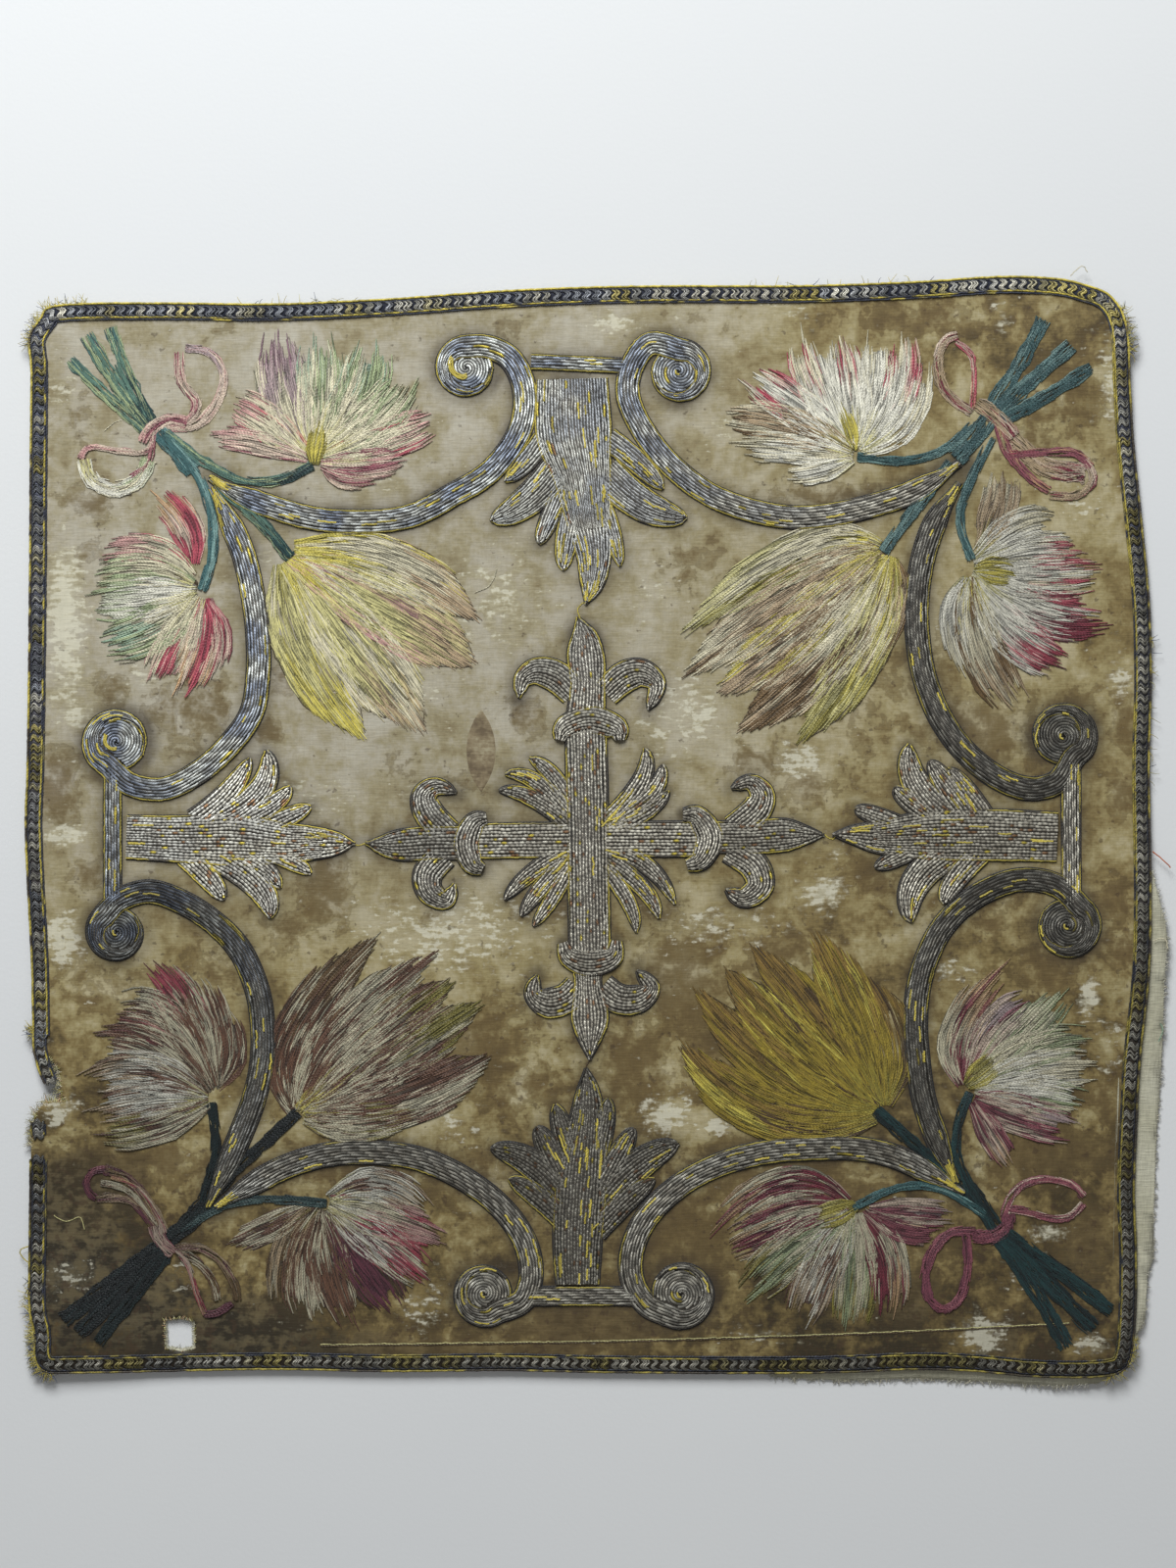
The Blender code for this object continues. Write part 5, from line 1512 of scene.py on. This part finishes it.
def work_cross():
    """The cross, from its rays and hooks up to the collars that lie over its arms."""
    threads = Threads()
    for ray in CROSS_RAYS:
        couch(threads, blade_stations(ray, RAY_FULLNESS), RAY_PAD, CROSS_SHINE, RAY_STREAKS, tucked=True)
    for hook in CROSS_HOOKS:
        fuller = [(x, y, half_width + more) for (x, y, half_width), more in zip(hook, HOOK_FULLNESS)]
        stations = smooth_line(fuller, ROW_STEP)
        from_end = np.arange(len(stations))[::-1] * ROW_STEP
        stations[:, 2] *= np.sqrt(np.clip(from_end / HOOK_ROUNDING, 0.08, 1))
        couch(threads, stations, BLADE_PAD, CROSS_SHINE, tucked=True)
    for bodies, brightness in ((CROSS_LEAVES, LEAF_SHINE), (CROSS_ARMS, ARM_SHINE)):
        for body in bodies:
            couch(threads, smooth_line(body, ROW_STEP), BLADE_PAD, CROSS_SHINE * brightness)
    upright = smooth_line(CROSS_UPRIGHT, ROW_STEP)
    couch(threads, upright, UPRIGHT_PAD, CROSS_SHINE * UPRIGHT_SHINE, UPRIGHT_STREAKS)
    for collar in CROSS_COLLARS:
        stations = smooth_line(np.array(collar) + (0, 0, COLLAR_FULLNESS), ROW_STEP)
        couch(threads, stations, COLLAR_PAD, CROSS_SHINE)
    metal_piece(threads, "cross")


def painted(paint, along, across, seed):
    """The colour of each stitch from its place along and across its petal: flames over shaded silks."""
    silks = PAINTS[paint]
    uneven = 0.4 * (patchy(across * 6, along * 2, 1, seed) - 0.5)
    colour = blended(ramp(along + uneven, 0.0, 0.22), linear(silks.root), linear(silks.body))
    colour = blended(ramp(along + uneven * 1.5, 0.6, 0.85), colour, linear(silks.tip))
    flames = 0.65 * patchy(across * 5.2 / silks.patches**0.6, along * silks.patches, 1, seed + 1)
    flames += 0.35 * patchy(across * 8, along * 2 * silks.patches, 1, seed + 2)
    level = 0.86 - 0.62 * silks.share
    zone = ramp(along, silks.low - 0.1, silks.low + 0.1)
    zone = zone * (1 - ramp(along, silks.high - 0.1, silks.high + 0.1))
    return blended(ramp(flames, level - 0.04, level + 0.04) * zone, colour, linear(silks.flame))


def strand_tints(paint, along, across, seed):
    """The colours of single stitches: some stray from their neighbours', and a few lie in shadow."""
    count = len(along)
    colour = painted(paint, along + draw.normal(0, 0.08, count), across + draw.normal(0, 0.1, count), seed)
    shaded = draw.random(count) < 0.1
    # The other stitches differ a little in brightness, partly by their dye and partly as painted sheen
    bright = np.where(shaded, draw.uniform(0.4, 0.7, count), draw.normal(1.03, 0.18, count))
    return colour * bright.clip(0.4, 1.7)[:, None]


def petal_lines(petal, ragged, t, across):
    """Lines over a petal at shares of the way along it and across it."""
    place = curve_through(petal.root, petal.middle, petal.tip)
    ahead = place(t + 0.02) - place(t - 0.02)
    ahead /= np.hypot(ahead[..., 0], ahead[..., 1])[..., None]
    normal = np.stack([-ahead[..., 1], ahead[..., 0]], axis=-1)
    return place(t) + normal * (petal_width(t, ragged) * petal.half_width * across)[..., None]


def petal_underlay(threads, petal, flower, level, seed):
    """A thin layer under a petal's stitches, so that no silk shows between them, at half their brightness as
    painted shade in the gaps.
    """
    rows = (np.arange(UNDERLAY_ROWS) + 0.5) / UNDERLAY_ROWS * 2 - 1
    end = petal_end(rows, flower.ragged) - (0.16 if flower.ragged else 0.04)
    t = end[:, None] * np.linspace(0.01, 1, 10)
    lines = petal_lines(petal, flower.ragged, t, rows[:, None])
    # Half brightness: painted shade between the stitches
    tints = painted(petal.paint, t, rows[:, None] + 0 * t, seed) * 0.5 * flower.fresh
    half_width = petal_width(t, flower.ragged) * petal.half_width / UNDERLAY_ROWS * 1.1
    threads.add(lines, level - 0.05, half_width, 0.06, tints)


def petal_stitches(threads, petal, flower, level, seed):
    """Long and short stitches that flow from a petal's root to its tip."""
    place = curve_through(petal.root, petal.middle, petal.tip)
    length = np.hypot(*np.diff(place(np.linspace(0, 1, 30)), axis=0).T).sum()
    mean_length = sum(STITCH_LENGTH) / 2
    count = int(COVERAGE * length * petal.half_width * 1.5 / (mean_length * STITCH_WIDTH))
    across = draw.uniform(-1, 1, count)
    reach = draw.uniform(*STITCH_LENGTH, count) / length
    limit = petal_end(across, flower.ragged) + draw.normal(0, 0.05 if flower.ragged else 0.015, count)
    if flower.ragged:
        limit = limit - 0.2 * patchy(across * 4, np.zeros(count), 1, seed + 2)
    start = draw.uniform(-0.05, 1, count) * limit
    ends = np.minimum(start + reach, limit)
    start = np.maximum(ends - reach, 0)
    t = start[:, None] + (ends - start)[:, None] * np.linspace(0, 1, 3)
    wander = draw.normal(0, 0.03, (count, 1)) + draw.normal(0, 0.015, t.shape)
    lines = petal_lines(petal, flower.ragged, t, across[:, None] + wander)
    tints = strand_tints(petal.paint, t.mean(axis=1), across, seed) * flower.fresh
    half_width = STITCH_WIDTH / 2 * STITCH_TAPER * draw.uniform(0.8, 1.3, (count, 1))
    rise = STITCH_HEIGHT * draw.uniform(0.7, 1.4, (count, 1))
    height = level + draw.uniform(0, 0.2, (count, 1))
    threads.add(lines, height, half_width, rise, tints)
    if not flower.ragged:
        outline_petal(threads, petal, place, level)


def petal_width(t, ragged):
    """A petal's half width along it, as a share of its widest."""
    opening = 0.35 + 0.65 * ramp(t, -0.05, 0.42)
    if ragged:
        return 1.15 * opening * (1 - 0.3 * ramp(t, 0.75, 1.1))
    return 1.14 * opening * (1 - 0.22 * np.clip((t - 0.6) / 0.4, 0, 1) ** 1.6)


def petal_end(across, ragged):
    """How far along a petal its stitches reach, which makes its tip pointed or round."""
    if ragged:
        return 1 - 0.1 * across**2
    return 1 - TIP_DEPTH * np.minimum(np.abs(across), 1) ** TIP_POWER


def outline_petal(threads, petal, place, level):
    """Thin dark stitches along both edges of a petal, worn away in places: partly dark outline stitching and
    partly painted shadow at its edge.
    """
    t = np.linspace(0.3, 0.99, 26)
    across = np.minimum(1, ((1 - t) / TIP_DEPTH) ** (1 / TIP_POWER))
    spine = np.column_stack([place(t), petal_width(t, False) * petal.half_width * across])
    for side in (1, -1):
        line = beside(spine, side * (spine[:, 2] + 0.1))
        line = shaken(line, 0.2)
        for start in range(0, 25, 5):
            if draw.random() < 0.6:
                run = slice(start, start + 6)
                threads.add(line[run], level + 0.05, 0.2, 0.2, linear("umber") * 0.7)


def band_stitches(threads, band, level, fresh, seed):
    """Long stitches that run along a stem or ribbon."""
    line = smooth_line(band.route, 1.0)
    length = len(line) - 1.0
    count = int(BAND_COVERAGE * length * band.half_width * 2 / (9 * STITCH_WIDTH))
    across = draw.uniform(-1, 1, count)
    reach = draw.uniform(*BAND_STITCH_LENGTH, count)
    start = draw.uniform(-4, length, count)
    ends = np.minimum(start + reach, length + draw.normal(0, 0.5, count))
    start = np.clip(start, draw.normal(0, 0.5, count), ends - 1.5)
    at = start[:, None] + (ends - start)[:, None] * np.linspace(0, 1, 3)
    numbers = np.arange(len(line))
    side = sideways(line)
    middle = np.stack([np.interp(at, numbers, line[:, k]) for k in (0, 1)], axis=-1)
    normal = np.stack([np.interp(at, numbers, side[:, k]) for k in (0, 1)], axis=-1)
    spread = band.half_width * (0.8 + 0.2 * patchy(at / 9, np.zeros(at.shape), 1, seed))
    wander = draw.normal(0, 0.12, at.shape)
    lines = middle + normal * (spread * (across[:, None] + wander))[..., None]
    tints = strand_tints(band.paint, at.mean(axis=1) / length, across, seed) * fresh
    half_width = STITCH_WIDTH / 2 * STITCH_TAPER
    height = level + 0.25 * np.sqrt(1 - across**2)[:, None] + draw.uniform(0, 0.1, (count, 1))
    threads.add(lines, height, half_width, STITCH_HEIGHT * 1.1, tints)


def paint_with_needle():
    """The flowers, stems and ribbons, each as a piece of floss silk stitches on the silk."""
    seed = 100
    for bunch in BUNCHES:
        threads = Threads()
        for number, band in enumerate(bunch.bands):
            seed += 5
            band_stitches(threads, band, BAND_LEVEL + LAYER_STEP * number, bunch.fresh, seed)
        declare(threads.piece(bunch.name, [FLOSS]))
    for flower in FLOWERS:
        threads = Threads()
        for number, petal in enumerate(flower.petals):
            seed += 5
            level = PETAL_LEVEL + LAYER_STEP * number
            petal_underlay(threads, petal, flower, level, seed)
            petal_stitches(threads, petal, flower, level, seed)
        declare(threads.piece(flower.name, [FLOSS]))


def braid_run(threads, edge, width):
    """A run of metal braid inside an edge line: a dark tape, cords along both sides, and loops."""
    share = width / BRAID_WIDTH
    tape = even(inset(edge, TAPE_OFFSET * share), 2.4)
    blue = ramp(tape[:, 1], -150, 230)
    tints = blended(blue, linear("brown_black") * 0.5, linear("blue_black") * 0.85)
    threads.add(tape, BRAID_LEVEL - 0.3, TAPE_HALF_WIDTH * share, 0.55, tints, section=PAD)
    for cord in BRAID_CORDS:
        line = shaken(even(inset(edge, cord.offset * share), 1.4), 0.08)
        x, y = line.T
        yellow = cord.yellow + cord.at_top * ramp(y, 245, 260) + cord.at_right * ramp(x, 200, 260)
        mottle = 0.6 * patchy(x, y, 14, cord.seed) + 0.6 * patchy(x, y, 3.5, cord.seed + 20)
        tint = blended(ramp(mottle + yellow, 0.75, 1.0), linear(cord.colour), linear("gilt"))
        # Each cord takes the braid's painted light
        tint = tint * draw.uniform(0.5, 1.25, (len(line), 1)) * braid_light(x, y)[:, None]
        threads.add(line, BRAID_LEVEL, cord.half_width, cord.rise, tint, kind=1)
    middle = even(inset(edge, LOOP_OFFSET * share), LOOP_PITCH)
    for start, brightness in LOOP_LAYERS:
        braid_loops(threads, middle, share, start, brightness)


def braid_light(x, y):
    """Painted light on the braid: brightest along the top edge, and dimmest along the bottom and the right.
    """
    upward = 0.73 + 0.28 * ramp(y, -260, 200) + 0.23 * ramp(y, 225, 255)
    return upward - 0.3 * ramp(x, 150, 262) * ramp(-y, -255, -230)


def braid_loops(threads, middle, share, start, brightness):
    """Slanting loops of metal thread down the middle of the braid, each an S from edge to edge."""
    side = sideways(middle)
    ahead = np.stack([side[:, 1], -side[:, 0]], axis=-1)
    s = np.linspace(-1, 1, 8)
    size = draw.uniform(0.85, 1.1, (len(middle), 1))
    along = (1.5 * np.sin(math.pi * s) - 0.9 * s) * size * share + start
    along = along + draw.normal(0, 0.25, (len(middle), 1))
    across = LOOP_REACH * s * size * share
    lines = middle[:, None] + ahead[:, None] * along[..., None] + side[:, None] * across[..., None]
    x, y = middle.T
    worn = ramp(patchy(x, y, 30, 21), 0.3, 0.7)
    # Painted glints that differ loop by loop, dimmer where the braid is worn, under the braid's painted
    # light
    shine = (draw.uniform(0.35, 1.0, len(middle)) * (0.55 + 0.45 * worn) * braid_light(x, y))[:, None]
    # Painted shade towards each loop's ends, where it dips into the braid
    bend = 0.45 + 0.55 * np.cos(s * 1.4) ** 2
    blue = 0.75 * ramp(patchy(x, y, 8, 24), 0.3, 0.7) * ramp(y - x, -250, 250)
    gold = 0.8 * ramp(patchy(x, y, 12, 22), 0.62, 0.8)
    tint = blended(blue, linear("silver") * 0.9, linear("blue_grey") * 1.4)
    tint = blended(gold, tint, linear("gilt"))
    dim = brightness + (1 - brightness) * 0.8 * ramp(y, 240, 262)
    tint = tint[:, None, :] * (shine * bend * dim[:, None])[..., None]
    height = BRAID_LEVEL + 0.1 + 0.25 * brightness + 0.3 * np.cos(s * 1.5)
    threads.add(lines, height, 0.6, 0.55, tint)


def lay_braid():
    """The braid round the edge with its end that hangs into the tear, and the scrap below the tear."""
    threads = Threads()
    edge = smooth_line(BRAID_EDGE, BRAID_STEP)
    braid_run(threads, edge, BRAID_WIDTH)
    braid_run(threads, smooth_line(BRAID_TAIL, BRAID_STEP), BRAID_TAIL_WIDTH)
    for tuft in TUFTS:
        near = edge[np.hypot(edge[:, 0] - tuft.x, edge[:, 1] - tuft.y) < tuft.reach]
        fray(threads, near, tuft.fullness, (2, 7), SILK_TOP + 0.6, TUFT_COLOURS, 0.8, kind=1)
    metal_piece(threads, "edge_braid")
    scrap = Threads()
    braid_run(scrap, smooth_line(BRAID_SCRAP, BRAID_STEP), BRAID_SCRAP_WIDTH)
    metal_piece(scrap, "braid_scrap")


def fray(threads, line, density, lengths, level, colours, drop=0.0, radius=0.16, kind=0):
    """Loose thread ends that stick out to the right of an edge line, so many to a millimetre.

    They drop by the given height towards their ends.
    """
    line = even(np.array(line, float), 1.0)
    count = int(len(line) * density)
    at = draw.integers(0, len(line), count)
    out = -sideways(line)[at]
    angle = draw.normal(0, 0.6, count)
    bend = draw.normal(0, 0.8, count)
    length = draw.uniform(*lengths, count)
    t = np.linspace(0, 1, 6)
    turned = angle[:, None] + bend[:, None] * t
    heading = np.arctan2(out[:, 1], out[:, 0])[:, None] + turned
    step = length[:, None] / (len(t) - 1)
    dx, dy = np.cos(heading) * step, np.sin(heading) * step
    x = line[at, 0, None] + np.cumsum(dx, axis=1) - 2 * dx[:, :1]
    y = line[at, 1, None] + np.cumsum(dy, axis=1) - 2 * dy[:, :1]
    names = draw.integers(0, len(colours), count)
    tints = np.array([linear(name) for name in colours])[names] * draw.uniform(0.6, 1.3, (count, 1))
    height = level - drop * t**1.5 + draw.uniform(-0.1, 0.2, (count, 1))
    threads.add(np.stack([x, y], axis=-1), height, radius * (1.2 - 0.7 * t), 0.25, tints, kind)


def fray_edges():
    """Frayed threads along the torn and worn edges."""
    linen = Threads()
    hole = [*HOLE, HOLE[0]]
    fray(linen, shrunk(hole, 0.9)[::-1], 2.2, (2, 6), LINEN_TOP - 0.2, LINEN_ENDS, 0.4)
    fray(linen, LINEN_RIGHT[::-1][1:-1], 1.2, (1, 3), LINEN_TOP - 0.2, LINEN_ENDS, 0.5)
    fray(linen, LINEN_BOTTOM[1:-1], 1.6, (1, 4), LINEN_TOP - 0.2, LINEN_ENDS, 0.5)
    fray(linen, TEAR, 2.0, (2, 6), LINEN_TOP, LINEN_ENDS, 0.5)
    silk = Threads()
    fray(silk, hole[::-1], 2.0, (1.5, 4), SILK_TOP - 0.1, SILK_ENDS, 0.8)
    fray(silk, TEAR, 2.6, (2, 6), SILK_TOP - 0.1, SILK_ENDS, 0.8)
    linen_fray = declare(linen.piece("linen_fray", [FLOSS]))
    return linen_fray, declare(silk.piece("silk_fray", [FLOSS]))


def lay_loose_threads():
    """Single threads that lie on the silk, and the crease that looks like one, with its painted shadow below
    it.
    """
    threads = Threads()
    for loose in LOOSE_THREADS:
        line = shaken(smooth_line(loose.route, 1.5), 0.12)
        tint = linear(loose.colour) * draw.uniform(0.7, 1.2, (len(line), 1))
        threads.add(line, SILK_TOP + 0.1, loose.half_width, loose.half_width, tint)
    declare(threads.piece("loose_threads", [FLOSS]))


def lay_patch():
    """A pointed oval of darker silk, left of the cross."""
    t = np.linspace(-1, 1, 25)[:, None]
    s = np.linspace(-1, 1, 9)
    width = PATCH_HALF_WIDTH * (1 - np.abs(t) ** 2.2) + 0.3
    grid_x = PATCH_CENTRE[0] + width * s
    grid_y = PATCH_CENTRE[1] + PATCH_HALF_HEIGHT * t + 0 * s
    grid_z = lift(grid_x, grid_y) + SILK_TOP + 0.22 - 0.2 * s**8
    numbers = np.arange(grid_x.size).reshape(grid_x.shape)
    places = np.stack([grid_x, grid_y, grid_z], axis=-1).reshape(-1, 3)
    declare(mesh_piece("silk_patch", places, grid_faces(numbers), [patch_look()]))


def set_camera():
    """A camera straight above, whose 1200 by 1600 frame matches the photograph's."""
    data = bpy.data.cameras.new("camera")
    data.lens = LENS
    data.sensor_width = SENSOR_SIZE
    camera = bpy.data.objects.new("camera", data)
    camera.location = Vector((*FRAME_MIDDLE, FRAME_HEIGHT * LENS / SENSOR_SIZE)) * METRES
    bpy.context.scene.collection.objects.link(camera)
    bpy.context.scene.camera = camera


def add_lamp(lamp):
    """A square lamp that faces the middle of the veil."""
    data = bpy.data.lights.new(lamp.name, "AREA")
    data.size = lamp.size
    data.energy = lamp.power
    data.color = lamp.colour
    light = bpy.data.objects.new(lamp.name, data)
    light.location = lamp.location
    light.rotation_euler = (-Vector(lamp.location)).to_track_quat("-Z", "Y").to_euler()
    bpy.context.scene.collection.objects.link(light)


def set_studio():
    """A plain pale floor in soft light, which comes mostly from beyond the veil's top."""
    data = bpy.data.meshes.new("floor")
    corners = [(FLOOR_REACH * x, FLOOR_REACH * y, 0) for x, y in ((-1, -1), (1, -1), (1, 1), (-1, 1))]
    data.from_pydata(corners, [], [(0, 1, 2, 3)])
    data.materials.append(floor_look())
    floor = bpy.data.objects.new("floor", data)
    floor.location.z = -FLOOR_DROP
    bpy.context.scene.collection.objects.link(floor)
    floor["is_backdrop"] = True
    for lamp in LAMPS:
        add_lamp(lamp)
    world = bpy.data.worlds.new("studio")
    world.use_nodes = True
    background = world.node_tree.nodes["Background"]
    background.inputs["Color"].default_value = ROOM_COLOUR
    background.inputs["Strength"].default_value = ROOM_STRENGTH
    bpy.context.scene.world = world
    bpy.context.scene.view_settings.view_transform = "Standard"


def write_sizes():
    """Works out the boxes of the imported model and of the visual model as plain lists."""
    boxes = {"cad": cad_box, "visual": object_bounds()}
    plain = {name: [list(map(float, corner)) for corner in box] for name, box in boxes.items()}


def main():
    """Makes the camera, the studio and every piece of the veil."""
    set_camera()
    set_studio()
    linen = declare(lay_linen(), "linen_backing")
    silk = declare(lay_silk(), "silk_ground")
    for scroll in SCROLLS:
        work_scroll(scroll)
    for bar in BARS:
        work_bar(bar)
    for palmette in PALMETTES:
        work_palmette(palmette)
    work_cross()
    lay_patch()
    paint_with_needle()
    lay_braid()
    lay_loose_threads()
    linen_fray, silk_fray = fray_edges()
    # The boxes of the imported model and of the visual model, in metres
    write_sizes()


main()
